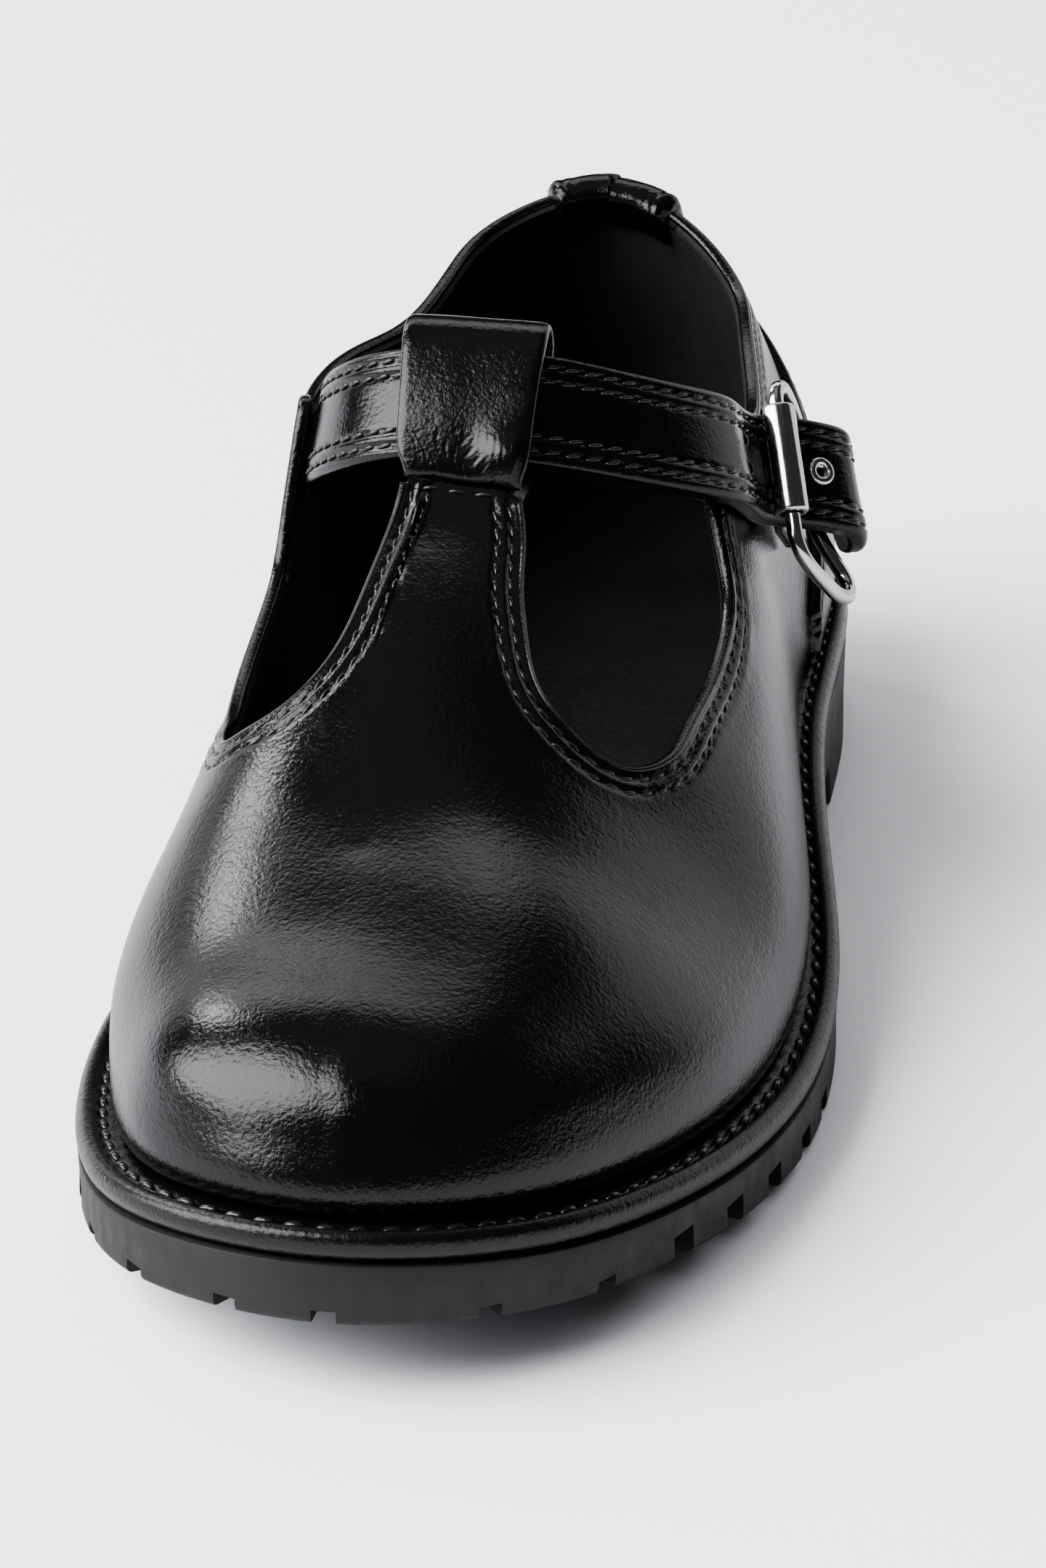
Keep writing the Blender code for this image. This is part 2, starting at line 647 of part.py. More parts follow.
def pattern_points(feather, rim, opening_count, spacing):
    """Inner points of the upper as walk and share, kept clear of its edges and each other."""
    ribs = np.arange(0.0, feather.along[-1], spacing)
    rows = []
    for walk in ribs:
        foot = feather.foot(np.array([walk]))
        length = np.linalg.norm(flat_place(foot, np.zeros(1)) - rib_centre(foot))
        shares = np.arange(1, int(length / spacing) + 1) * spacing / length
        rows += [(walk, share) for share in shares]
    rows = np.array(rows)
    flat = flat_place(feather.foot(rows[:, 0]), rows[:, 1])
    leather = ~inside(flat, rim[-opening_count:])
    rows, flat = rows[leather], flat[leather]
    kept, kept_flat = [], list(rim)
    for row, place in zip(rows, flat):
        apart = np.linalg.norm(np.array(kept_flat) - place, axis=1)
        clear_of_rim = apart[: len(rim)].min() > 0.55 * spacing
        if clear_of_rim and apart[len(rim) :].min(initial=spacing) > 0.75 * spacing:
            kept.append(row)
            kept_flat.append(place)
    return np.array(kept)


def build_upper(feather):
    """Leather upper of even thickness, open at the collar, the cut-outs and underneath."""
    bottom_count = int(round(feather.along[-1] / FEATHER_SPACING))
    bottom_walk = feather.along[-1] * np.arange(bottom_count) / bottom_count
    bottom = np.stack([bottom_walk, np.zeros(bottom_count)], 1)
    opening = spaced_edge(feather, EDGE_SPACING)
    borders = np.concatenate([bottom, opening])
    rim = flat_place(feather.foot(borders[:, 0]), borders[:, 1])
    middle = pattern_points(feather, rim, len(opening), UPPER_SPACING)
    pattern = np.concatenate([borders, middle])
    flat = flat_place(feather.foot(pattern[:, 0]), pattern[:, 1])
    triangles = upper_triangles(flat, bottom_count, len(opening))
    outer = feather.point(pattern[:, 0], pattern[:, 1])
    triangles = facing_out(outer, triangles)
    inner = outer - WALL * point_normals(outer, triangles)
    inner[:bottom_count, 2] = outer[:bottom_count, 2]
    count = len(outer)
    faces = [tuple(face) for face in triangles]
    faces += [tuple(count + i for i in face[::-1]) for face in triangles]
    loops = (np.arange(bottom_count), bottom_count + np.arange(len(opening)))
    for loop in loops:
        faces += [(i, j, count + j, count + i) for i, j in zip(loop, np.roll(loop, -1))]
    add_body("upper", np.concatenate([outer, inner]), faces, LEATHER)


def upper_triangles(flat, bottom_count, opening_count):
    """Triangles over the flat pattern between its two borders."""
    bottom = [(i, (i + 1) % bottom_count) for i in range(bottom_count)]
    opening = [(bottom_count + i, bottom_count + (i + 1) % opening_count) for i in range(opening_count)]
    vectors = [Vector((x, y)) for x, y in flat.tolist()]
    result = delaunay_2d_cdt(vectors, bottom + opening, [], 0, 1e-7, True)
    source = [ids[0] for ids in result[3]]
    triangles = np.array([[source[i] for i in face] for face in result[2]])
    centres = flat[triangles].mean(axis=1)
    outer_loop = flat[:bottom_count]
    inner_loop = flat[bottom_count : bottom_count + opening_count]
    return triangles[inside(centres, outer_loop) & ~inside(centres, inner_loop)]


def facing_out(points, triangles):
    """Turn every triangle so that it faces away from the inside of the shoe."""
    corners = points[triangles]
    direction = np.cross(corners[:, 1] - corners[:, 0], corners[:, 2] - corners[:, 0])
    centre = corners.mean(axis=1)
    along = np.clip(centre[:, 0], HEEL_FAN, TOE_FAN)
    heart = np.column_stack([along, np.full(len(centre), -5.0), centre[:, 2] * 0.5])
    wrong = ((centre - heart) * direction).sum(axis=1) < 0
    triangles = triangles.copy()
    triangles[wrong] = triangles[wrong][:, ::-1]
    return triangles


def point_normals(points, triangles):
    """Average outward direction at every point."""
    corners = points[triangles]
    direction = np.cross(corners[:, 1] - corners[:, 0], corners[:, 2] - corners[:, 0])
    total = np.zeros_like(points)
    for column in range(3):
        np.add.at(total, triangles[:, column], direction)
    return unit(total)


def build_heel_counter(feather):
    """Stiff piece round the outside of the heel, cut from the shape of the upper."""
    whole = feather.along[-1]
    front_outer = feather.walk(COUNTER_FRONT, True)
    front_inner = feather.walk(COUNTER_FRONT, False)
    walks = np.linspace(front_inner - whole, front_outer, 37)
    edge = spline(COUNTER_EDGE, feather.foot(walks)[:, 0] - feather.line[:, 0].min())
    outer, inner = [], []
    for step in np.linspace(0.0, 1.0, 6):
        share = COUNTER_FOOT + (edge - COUNTER_FOOT) * step
        points = feather.point(walks, share)
        normal = feather.normal(walks, share)
        outer.append(points + normal * (GAP + COUNTER_THICKNESS))
        inner.append(points + normal * GAP)
    add_body("heel_counter", *thick_sheet(np.array(outer), np.array(inner)), LEATHER)


def build_heel_binding(feather):
    """Folded patch over the top of the heel."""
    whole = feather.along[-1]
    walks = np.linspace(feather.walk(BINDING_END, False) - whole, feather.walk(BINDING_END, True), 13)
    opening = np.concatenate(opening_edge(feather))
    order = np.concatenate([opening - (whole, 0.0), opening])
    order = order[np.argsort(order[:, 0], kind="stable")]
    heel_part = order[abs(order[:, 0]) < feather.walk(40.0, True)]
    rim = np.interp(walks, heel_part[:, 0], heel_part[:, 1])
    point = feather.point(walks, rim)
    out = feather.normal(walks, rim)
    up = unit(feather.point(walks, rim + 0.004) - feather.point(walks, rim - 0.004))
    near = BINDING_GAP
    far = WALL + BINDING_GAP
    thick = BINDING_THICKNESS

    def on_wall(drop, offset):
        share = rim - drop
        return feather.point(walks, share) + feather.normal(walks, share) * offset

    def over(height, offset):
        return point + up * height + out * offset

    outer = [
        on_wall(BINDING_DROP_OUT, near + thick),
        on_wall(BINDING_DROP_OUT / 2, near + thick),
        over(0.0, near + thick),
        over(near + 0.6 * thick, near + 0.75 * thick),
        over(near + thick, -0.3),
        over(near + thick, -WALL + 0.3),
        over(near + 0.6 * thick, -far - 0.75 * thick),
        over(0.0, -far - thick),
        on_wall(BINDING_DROP_IN / 2, -far - thick),
        on_wall(BINDING_DROP_IN, -far - thick),
    ]
    inner = [
        on_wall(BINDING_DROP_OUT, near),
        on_wall(BINDING_DROP_OUT / 2, near),
        over(0.0, near),
        over(near * 0.7, near * 0.9),
        over(near, -0.3),
        over(near, -WALL + 0.3),
        over(near * 0.7, -far + 0.03),
        over(0.0, -far),
        on_wall(BINDING_DROP_IN / 2, -far),
        on_wall(BINDING_DROP_IN, -far),
    ]
    add_body("heel_binding", *thick_sheet(np.array(outer), np.array(inner)), LEATHER)


# ---------------------------------------------------------------- T-bar loop, strap and buckle


def build_loop(feather):
    """Leather loop from the end of the T-bar, over the strap and back under."""
    outer_top, inner_top = np.array(OUTER_EDGE[-1]), np.array(INNER_EDGE[0])
    outer_walk = feather.walk(outer_top[0], True)
    inner_walk = feather.walk(inner_top[0], False)
    rise = np.linspace(outer_top[1], 1.0, 9)
    fall = np.linspace(1.0, inner_top[1], 9)[1:]
    bar_end = np.concatenate([
        feather.point(np.full(9, outer_walk), rise),
        feather.point(np.full(8, inner_walk), fall),
    ])
    bar_end = bar_end[np.argsort(bar_end[:, 1])]
    line = open_curve(LOOP_LINE, 38)
    middle = [np.interp(LOOP_SIDE, bar_end[:, 1], bar_end[:, column]) for column in (0, 2)]
    run = unit(np.gradient(line[:, :2], axis=0))
    out = np.stack([-run[:, 1], run[:, 0]], 1) * -1
    outer, inner = [], []
    for row, (out_heel, out_up) in zip(line, out):
        side = LOOP_SIDE + row[2] * np.linspace(-0.5, 0.5, 6)
        at = LOOP_SIDE + (side - LOOP_SIDE) * (bar_end[-1, 1] - bar_end[0, 1]) / row[2]
        curve_heel = (np.interp(at, bar_end[:, 1], bar_end[:, 0]) - middle[0]) * row[3]
        curve_up = (np.interp(at, bar_end[:, 1], bar_end[:, 2]) - middle[1]) * row[3]
        for sheet, offset in ((outer, 0.5), (inner, -0.5)):
            from_heel = row[0] + curve_heel + out_heel * offset * LOOP_THICKNESS
            height = row[1] + curve_up + out_up * offset * LOOP_THICKNESS
            sheet.append(np.stack([from_heel, side, height], 1))
    add_body("t_bar_loop", *thick_sheet(np.array(outer), np.array(inner)), LEATHER)


def strap_frames(count):
    """Centres of the strap with its width and outward directions."""
    tail = buckle_point(*np.array(TAIL_LINE).T)
    lean = np.tile(STRAP_LINE[-1][3:], (len(tail), 1))
    line = open_curve(np.concatenate([STRAP_LINE, np.column_stack([tail, lean])]), 900)
    line = even_spacing(line, 0.25)
    keep = np.linspace(0, len(line) - 1, count).round().astype(int)
    run = unit(np.gradient(line[:, :3], axis=0))[keep]
    line = line[keep]
    lean = line[:, 3:5]
    wide = np.column_stack([-lean[:, 0], lean[:, 1], np.sqrt(1 - (lean**2).sum(axis=1))])
    wide = unit(wide - run * (wide * run).sum(axis=1)[:, None])
    return line[:, :3], wide, unit(np.cross(run, wide))


def strap_section(half_width):
    """Rounded outline of the strap's cross-section."""
    half_thick = STRAP_THICKNESS / 2
    corner = STRAP_CORNER
    quarter = (
        (half_width - corner, half_thick),
        (half_width, half_thick - corner),
    )
    right = list(quarter) + [(x, -y) for x, y in reversed(quarter)]
    return np.array(right + [(-x, -y) for x, y in right])


def build_ankle_strap():
    """Strap from inside the inner quarter, through the loop and buckle, to its rounded tip."""
    centres, wide, out = strap_frames(58)
    along = np.concatenate([[0.0], np.cumsum(np.linalg.norm(np.diff(centres, axis=0), axis=1))])
    from_tip = np.clip((along[-1] - along) / STRAP_TIP_ROUND, 0.0, 1.0)
    narrow = 0.45 + 0.55 * np.sqrt(1 - (1 - from_tip) ** 2)
    rings = []
    for centre, across, outward, factor in zip(centres, wide, out, narrow):
        section = strap_section(STRAP_WIDTH / 2 * factor)
        rings.append(centre + across * section[:, :1] + outward * section[:, 1:])
    rings = np.array(rings)
    count, around = rings.shape[:2]
    faces = grid_faces(count, around, closed_columns=True)
    faces.append(tuple(range(around)))
    faces.append(tuple((count - 1) * around + i for i in reversed(range(around))))
    strap = add_body("ankle_strap", rings.reshape(-1, 3), faces, LEATHER)
    centre, across, outward = eyelet_place()
    cut(strap, build_eyelet_hole(centre, across, outward))


def buckle_axes():
    """Directions back from the roller, down along it and out from the shoe."""
    back = unit(BUCKLE_BACK)
    down = np.asarray(BUCKLE_DOWN, float)
    down = unit(down - back * (down @ back))
    out = np.cross(back, down)
    return back, down, out if out[1] > 0 else -out


def buckle_point(back_by, down_by, out_by):
    """Points measured from the roller in the buckle's own directions."""
    back, down, out = buckle_axes()
    parts = [np.asarray(value, float)[..., None] for value in (back_by, down_by, out_by)]
    return np.asarray(BUCKLE_CENTRE) + back * parts[0] + down * parts[1] + out * parts[2]


def build_buckle_frame():
    """D-shaped wire frame, bowed towards the shoe at its back bar."""
    centres = buckle_point(*closed_curve(FRAME_LINE, 60).T)
    run = unit(np.roll(centres, -1, axis=0) - np.roll(centres, 1, axis=0))
    out = np.tile(buckle_axes()[2], (len(centres), 1))
    across = unit(np.cross(run, out))
    out = unit(np.cross(across, run))
    add_body("buckle_frame", *swept_tube(centres, across, out, circle(FRAME_WIRE, 7), True), METAL)


def circle(radius, count):
    """Corners of a regular polygon."""
    turn = 2 * np.pi * np.arange(count) / count
    return np.stack([np.cos(turn), np.sin(turn)], 1) * radius


def turned_body(name, centre, axis, profile, look, count=18):
    """Body of revolution from a closed profile of radius and distance along the axis."""
    axis = unit(axis)
    first = unit(np.cross(axis, (0.3, 0.9, 0.2)))
    second = np.cross(axis, first)
    rows = []
    for radius, along in profile:
        spin = circle(radius, count)
        rows.append(np.asarray(centre) + axis * along + first * spin[:, :1] + second * spin[:, 1:])
    rows = np.array(rows)
    faces = grid_faces(len(profile), count, closed_rows=True, closed_columns=True)
    return add_body(name, rows.reshape(-1, 3), faces, look)


def build_buckle_roller():
    """Tube that turns on the front bar of the frame."""
    end, soft = ROLLER_HALF_LENGTH, 0.35
    profile = (
        (ROLLER_BORE, -end), (ROLLER_RADIUS - soft, -end), (ROLLER_RADIUS, soft - end),
        (ROLLER_RADIUS, end - soft), (ROLLER_RADIUS - soft, end), (ROLLER_BORE, end),
    )
    turned_body("buckle_roller", BUCKLE_CENTRE, buckle_axes()[1], profile, METAL)


def build_buckle_chape():
    """Folded leather tab from the outer quarter round the back bar of the buckle."""
    line = open_curve(CHAPE_LINE, 38)
    run = unit(np.gradient(line, axis=0))
    out = np.stack([-run[:, 1], run[:, 0]], 1) * CHAPE_THICKNESS / 2
    sheets = []
    for offset in (out, -out):
        back_by = np.repeat((line + offset)[:, :1], 2, axis=1)
        out_by = np.repeat((line + offset)[:, 1:], 2, axis=1)
        down_by = np.tile(CHAPE_CENTRE + CHAPE_WIDTH * np.array([-0.5, 0.5]), (len(line), 1))
        sheets.append(buckle_point(back_by, down_by, out_by))
    add_body("buckle_chape", *thick_sheet(*sheets), LEATHER)


def eyelet_place():
    """Centre of the eyelet on the middle of the strap, with the strap's directions there."""
    centres, wide, out = strap_frames(600)
    back = (centres - np.asarray(BUCKLE_CENTRE)) @ buckle_axes()[0]
    near = int(np.argmin(abs(back - EYELET_BACK) + 100 * (centres[:, 1] < BUCKLE_CENTRE[1])))
    return centres[near], wide[near], out[near]


def build_eyelet_hole(centre, across, outward):
    """Round cutter for the hole in the strap."""
    second = np.cross(outward, across)
    spin = circle(EYELET_HOLE, 20)
    rims = [centre + outward * depth + across * spin[:, :1] + second * spin[:, 1:] for depth in (-3.0, 3.0)]
    faces = grid_faces(2, 20, closed_columns=True) + [tuple(range(20)), tuple(range(39, 19, -1))]
    return add_cutter("eyelet_hole", np.concatenate(rims), faces)


def build_strap_eyelet():
    """Metal ring that lines the hole in the strap."""
    centre, across, outward = eyelet_place()
    half = STRAP_THICKNESS / 2 + GAP
    profile = (
        (0.55, -1.0), (0.9, -1.0), (0.9, half), (1.6, half), (1.6, half + 0.2),
        (1.25, half + 0.45), (0.75, half + 0.4), (0.55, half + 0.1),
    )
    turned_body("strap_eyelet", centre, outward, profile, METAL)


def main():
    """Build every piece of the shoe."""
    for old in list(bpy.data.objects):
        bpy.data.objects.remove(old, do_unlink=True)
    feather = Feather()
    build_outsole()
    build_welt()
    build_insole()
    build_upper(feather)
    build_heel_counter(feather)
    build_heel_binding(feather)
    build_loop(feather)
    build_ankle_strap()
    build_buckle_frame()
    build_buckle_roller()
    build_buckle_chape()
    build_strap_eyelet()


main()
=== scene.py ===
"""Looks of the child's T-strap shoe: fine leather, lining, stitching, welt, sole, buckle, light and camera.

Lengths in the tables are millimetres. from_heel runs from the back of the sole to its toe,
side is + towards the outer (lateral) edge, and height is above the floor.
"""

import math

import bmesh
import bpy
import numpy as np
from mathutils import Matrix, Vector, kdtree
from mathutils.geometry import delaunay_2d_cdt

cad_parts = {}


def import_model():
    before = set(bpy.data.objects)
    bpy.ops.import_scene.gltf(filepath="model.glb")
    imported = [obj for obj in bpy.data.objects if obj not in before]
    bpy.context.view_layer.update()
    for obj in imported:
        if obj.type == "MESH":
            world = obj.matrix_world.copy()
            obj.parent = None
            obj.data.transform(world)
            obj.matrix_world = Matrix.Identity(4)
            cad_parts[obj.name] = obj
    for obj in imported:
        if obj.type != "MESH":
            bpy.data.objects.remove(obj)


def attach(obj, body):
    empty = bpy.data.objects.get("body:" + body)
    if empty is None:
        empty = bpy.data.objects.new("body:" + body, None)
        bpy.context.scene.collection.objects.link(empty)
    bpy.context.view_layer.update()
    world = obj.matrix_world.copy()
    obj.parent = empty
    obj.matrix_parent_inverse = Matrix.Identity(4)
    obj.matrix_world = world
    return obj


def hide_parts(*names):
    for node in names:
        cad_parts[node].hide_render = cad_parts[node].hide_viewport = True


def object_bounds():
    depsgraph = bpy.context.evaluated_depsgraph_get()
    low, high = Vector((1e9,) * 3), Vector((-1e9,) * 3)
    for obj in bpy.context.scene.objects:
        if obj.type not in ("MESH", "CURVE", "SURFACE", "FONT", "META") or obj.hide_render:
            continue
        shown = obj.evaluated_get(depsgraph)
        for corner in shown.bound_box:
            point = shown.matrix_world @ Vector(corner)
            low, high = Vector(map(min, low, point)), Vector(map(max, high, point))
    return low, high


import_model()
cad_low, cad_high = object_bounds()

MM = 0.001
LENGTH = 186.0
GAP = 0.3

# Outline of the welt: from_heel, inner (medial) side, outer (lateral) side
WELT_WIDTHS = (
    (5.0, -15.8, 15.0),
    (18.0, -26.8, 27.2),
    (40.0, -29.8, 30.7),
    (62.0, -30.0, 30.8),
    (86.0, -30.4, 33.6),
    (108.0, -34.2, 36.9),
    (130.0, -37.3, 36.7),
    (150.0, -35.8, 31.9),
    (167.0, -31.0, 23.9),
    (179.0, -22.4, 14.0),
)
HEEL_TIP = (0.0, -0.5)
TOE_TIP = (LENGTH, -4.0)

# How far the welt stands out from the upper: from_heel, reach
WELT_REACH = ((0, 2.8), (40, 3.3), (90, 3.6), (130, 3.8), (LENGTH, 4.2))
# Top of the outsole: from_heel, height
SOLE_TOP = (
    (0, 15.5), (35, 15.2), (70, 13.6), (100, 9.4), (125, 7.2), (150, 8.6), (170, 12.0), (LENGTH, 15.7),
)
# Tread line in front of the heel: from_heel, height
TREAD_LINE = ((54, 6.4), (66, 6.0), (80, 3.4), (94, 0.8), (102, 0.0))
TOE_SPRING = ((118, 0.0), (130, 0.45), (150, 2.6), (170, 5.8), (LENGTH, 8.8))
HEEL_BREAST = (49.5, 53.0)

FEATHER_RISE = 3.3
WELT_FLAT = 2.9
BEAD_RADIUS = 1.6
WALL = 1.8

# Ridge of the last: from_heel, side
RIDGE_SIDE = (
    (0, -2.4), (30, -2.8), (60, -4.0), (95, -6.0), (110, -8.0), (125, -9.0), (150, -7.0), (LENGTH, -6.0),
)
# Ridge of the last: from_heel, height
RIDGE_HEIGHT = (
    (0, 80.0), (30, 78.0), (49, 86.0), (77, 92.0), (90, 78.0), (101.6, 61.5),
    (112, 56.0), (122, 51.8), (131, 46.2), (139, 40.6), (148, 38.0), (LENGTH, 37.2),
)
# Fullness of the cross-section: from_heel, exponent
FULL_INNER = (
    (0, 2.6), (6, 2.2), (15, 1.8), (30, 1.55), (42, 1.75), (58, 2.8), (80, 2.6), (100, 2.65),
    (110, 2.05), (120, 1.92), (128, 1.92), (138, 2.15), (150, 2.3), (168, 2.5), (LENGTH, 2.7),
)
FULL_OUTER = (
    (0, 2.6), (6, 2.05), (15, 1.6), (30, 1.42), (48, 1.4), (80, 1.45), (92, 1.52),
    (102, 1.65), (117, 1.6), (128, 1.5), (150, 2.0), (172, 2.6), (LENGTH, 2.7),
)
# Swell of the wall just above the welt: from_heel, amount
SWELL_INNER = ((0, 1.6), (30, 1.4), (60, 3.4), (90, 1.5), (112, 0.5), (135, 0.5), (160, 0.9), (LENGTH, 1.4))
SWELL_OUTER = ((0, 1.6), (60, 1.2), (110, 1.4), (LENGTH, 1.4))
# Height above the welt at which the swell is fullest: from_heel, height
SWELL_HEIGHT = ((0, 10), (30, 12), (60, 20), (90, 16), (120, 11), (LENGTH, 10))
HEEL_FAN = 27.0
TOE_FAN = 146.0
FAN_SOFTNESS = 6.0
FLATTEN = 0.6
# Side on which the middle of the hollow inside lies
HEART_SIDE = -5.0

# Edge of the collar, cut-outs and T-bar, round from the heel: from_heel, share of the way up the rib
OUTER_EDGE = (
    (0, 0.47), (5, 0.464), (16.7, 0.447), (29.4, 0.44), (40, 0.39), (47.9, 0.35), (57.9, 0.35),
    (68, 0.385), (78, 0.425), (84.5, 0.425), (88.5, 0.39), (91.5, 0.375), (95.5, 0.39), (101.5, 0.43),
    (110.5, 0.47), (117.5, 0.49), (122.8, 0.55), (124.4, 0.61), (123.9, 0.68), (121.3, 0.75),
    (116.9, 0.785), (112.2, 0.81), (107.4, 0.825), (103.0, 0.85),
)
INNER_EDGE = (
    (103.0, 0.90), (111.9, 0.905), (122, 0.885), (126.3, 0.83), (128.3, 0.75), (128.2, 0.67), (127.2, 0.60),
    (125.2, 0.535), (119.5, 0.455), (111.9, 0.38), (99.9, 0.305), (91.2, 0.262), (85.5, 0.255), (82.6, 0.29),
    (80.5, 0.325), (78.4, 0.35), (76, 0.345), (68, 0.30), (58.3, 0.30), (48.5, 0.34), (39.3, 0.405),
    (28, 0.47), (13.1, 0.472), (5.5, 0.468),
)

# Top edge of the heel counter: from_heel, share of the way up the rib
COUNTER_EDGE = ((0, 0.375), (4, 0.36), (12, 0.31), (22, 0.245), (34, 0.16), (44, 0.075), (49, 0.03))
COUNTER_FRONT = 49.0
COUNTER_FOOT = 0.009
COUNTER_THICKNESS = 0.9
BINDING_END = 5.2
BINDING_DROP_OUT = 0.06
BINDING_DROP_IN = 0.055
BINDING_THICKNESS = 0.9

STRAP_WIDTH = 12.4
STRAP_THICKNESS = 2.4
STRAP_TIP_ROUND = 6.0
STRAP_POINTS = 900
STRAP_SPACING = 0.25
# Middle of the strap from the inner quarter to its tip: from_heel, side, height, then
# how its upper edge leans towards the heel and towards the outer side
STRAP_LINE = (
    (70.5, -23.9, 51.4, 0.45, 0.10),
    (77.0, -23.3, 53.9, 0.47, 0.10),
    (83.5, -21.8, 57.5, 0.52, 0.10),
    (90.8, -16.8, 62.4, 0.60, 0.05),
    (93.8, -10.5, 64.9, 0.64, 0.02),
    (94.4, -4.4, 65.4, 0.65, 0.00),
    (94.0, 2.6, 64.9, 0.65, -0.06),
    (90.8, 10.2, 62.5, 0.65, -0.16),
    (86.0, 17.2, 59.4, 0.63, -0.24),
    (80.0, 21.4, 55.9, 0.60, -0.26),
    (73.3, 23.4, 51.5, 0.57, -0.25),
)
# Free end of the strap, as back from the roller, down along it and out from the buckle's plane
TAIL_LINE = (
    (4.4, 0.2, -1.2), (8.0, 0.6, 0.9), (10.6, 0.9, 1.65), (12.9, 1.2, 0.9), (15.6, 1.6, -1.0),
    (18.2, 2.0, -2.9),
)

LOOP_SIDE = -4.4
LOOP_THICKNESS = 1.6
# Loop from the cross seam, over the strap and back under the T-bar: from_heel, height,
# width, and how much of the T-bar's crosswise curve it keeps
LOOP_LINE = (
    (102.25, 60.0, 13.9, 1.0),
    (101.2, 61.8, 14.0, 0.85),
    (99.4, 64.6, 14.2, 0.6),
    (96.8, 67.9, 14.5, 0.4),
    (94.4, 70.5, 14.9, 0.3),
    (92.2, 72.3, 15.2, 0.25),
    (89.8, 72.6, 15.2, 0.25),
    (87.6, 71.1, 15.2, 0.25),
    (87.2, 68.7, 15.0, 0.25),
    (88.5, 66.3, 14.6, 0.3),
    (91.5, 62.9, 14.0, 0.4),
    (94.7, 59.3, 13.4, 0.6),
    (96.8, 57.8, 13.0, 0.8),
    (99.4, 57.4, 12.6, 1.0),
    (101.8, 56.9, 12.2, 1.0),
    (103.8, 55.8, 12.0, 1.0),
    (105.8, 54.6, 11.8, 1.0),
)

# The buckle lies in a plane through its roller
BUCKLE_CENTRE = (74.0, 26.5, 53.0)
BUCKLE_BACK = (-0.767, 0.393, -0.503)
BUCKLE_DOWN = (0.571, 0.236, -0.786)
FRAME_WIRE = 0.85
# D-shaped frame, as back from the roller, down along it and out from its plane
FRAME_LINE = (
    (0.0, 3.6, 0.0), (0.0, 0.0, 0.0), (0.0, -3.6, 0.0), (0.0, -7.3, 0.0), (1.3, -8.6, 0.0),
    (4.2, -8.0, -0.6), (7.8, -6.3, -1.7), (9.9, -3.4, -2.3), (10.2, -0.5, -2.4), (10.2, 2.2, -2.4),
    (10.3, 4.9, -2.3), (11.3, 8.2, -1.5), (12.2, 11.2, -0.5), (11.2, 13.2, 0.0), (8.6, 13.6, 0.0),
    (5.4, 12.7, 0.0), (2.0, 11.2, 0.0), (0.3, 9.4, 0.0), (0.0, 7.3, 0.0),
)
ROLLER_BORE = 1.25
ROLLER_RADIUS = 1.9
ROLLER_HALF_LENGTH = 6.1

CHAPE_WIDTH = 6.4
CHAPE_CENTRE = 0.85
CHAPE_THICKNESS = 1.1
# Folded tab that holds the buckle's back bar: back from the roller, out from the buckle's plane
CHAPE_LINE = (
    (17.6, -9.2), (14.4, -8.2), (11.6, -7.3), (9.9, -6.3), (8.8, -4.5), (8.45, -2.4),
    (9.1, -0.9), (10.2, -0.5), (11.4, -1.0), (11.95, -2.4), (11.7, -4.2), (12.4, -5.6),
    (14.4, -6.5), (16.8, -7.3),
)

EYELET_BACK = 6.6

# Slots in the edge of the tread: side sign, width, height, depth, and from_heel of each one
NOTCHES = (
    (1, 3.4, 3.0, 8.0, (161.0, 152.0, 143.0, 133.0, 124.0)),
    (-1, 3.4, 3.0, 8.0, (160.0, 152.0, 143.5, 135.0, 126.0, 117.0, 107.0)),
    (1, 2.4, 1.6, 4.0, (LENGTH,)),
    (-1, 2.4, 1.6, 4.0, (184.0, 177.5, 168.5)),
    (1, 2.4, 1.6, 4.0, (181.0, 171.5)),
)

OUTLINE_POINTS = 2880
# Powers of the gaps between given points that space them along a smooth curve
OPEN_SPACING = 0.7
CLOSED_SPACING = 0.5
EDGE_POINTS = 400
# Points across the end of the T-bar, on each side of its ridge
BAR_END_STEPS = 8
# Short steps along and up the last, from which its slopes are read
WALK_STEP = 0.3
SHARE_STEP = 0.004


def spline(table, at):
    """Height of the smooth curve through a two-column table."""
    rows = np.asarray(table, float)
    x, y = rows[:, 0], rows[:, 1]
    count = len(x)
    step = np.diff(x)
    matrix = np.eye(count)
    right = np.zeros(count)
    for i in range(1, count - 1):
        matrix[i, i - 1] = step[i - 1]
        matrix[i, i] = 2 * (step[i - 1] + step[i])
        matrix[i, i + 1] = step[i]
        right[i] = 6 * ((y[i + 1] - y[i]) / step[i] - (y[i] - y[i - 1]) / step[i - 1])
    matrix[0, 1] = -1
    matrix[-1, -2] = -1
    bend = np.linalg.solve(matrix, right)
    at = np.clip(np.asarray(at, float), x[0], x[-1])
    k = np.clip(np.searchsorted(x, at, side="right") - 1, 0, count - 2)
    after = x[k + 1] - at
    before = at - x[k]
    span = step[k]
    curve = (bend[k] * after**3 + bend[k + 1] * before**3) / (6 * span)
    curve += (y[k] / span - bend[k] * span / 6) * after
    return curve + (y[k + 1] / span - bend[k + 1] * span / 6) * before


def part_way(value, start, end):
    """Share of the way from start to end, held between nothing and one."""
    return np.clip((value - start) / (end - start), 0.0, 1.0)


def eased(share):
    """Share from nothing to one, soft at both ends."""
    share = np.clip(share, 0.0, 1.0)
    return share * share * (3 - 2 * share)


def hump(distance, reach):
    """Smooth hump that is one at no distance and fades out beyond its reach."""
    return np.exp(-((distance / reach) ** 2))


def quarter_round(share):
    """Height of a quarter circle at a share of its way in from the edge."""
    return np.sqrt(1 - (1 - np.clip(share, 0.0, 1.0)) ** 2)


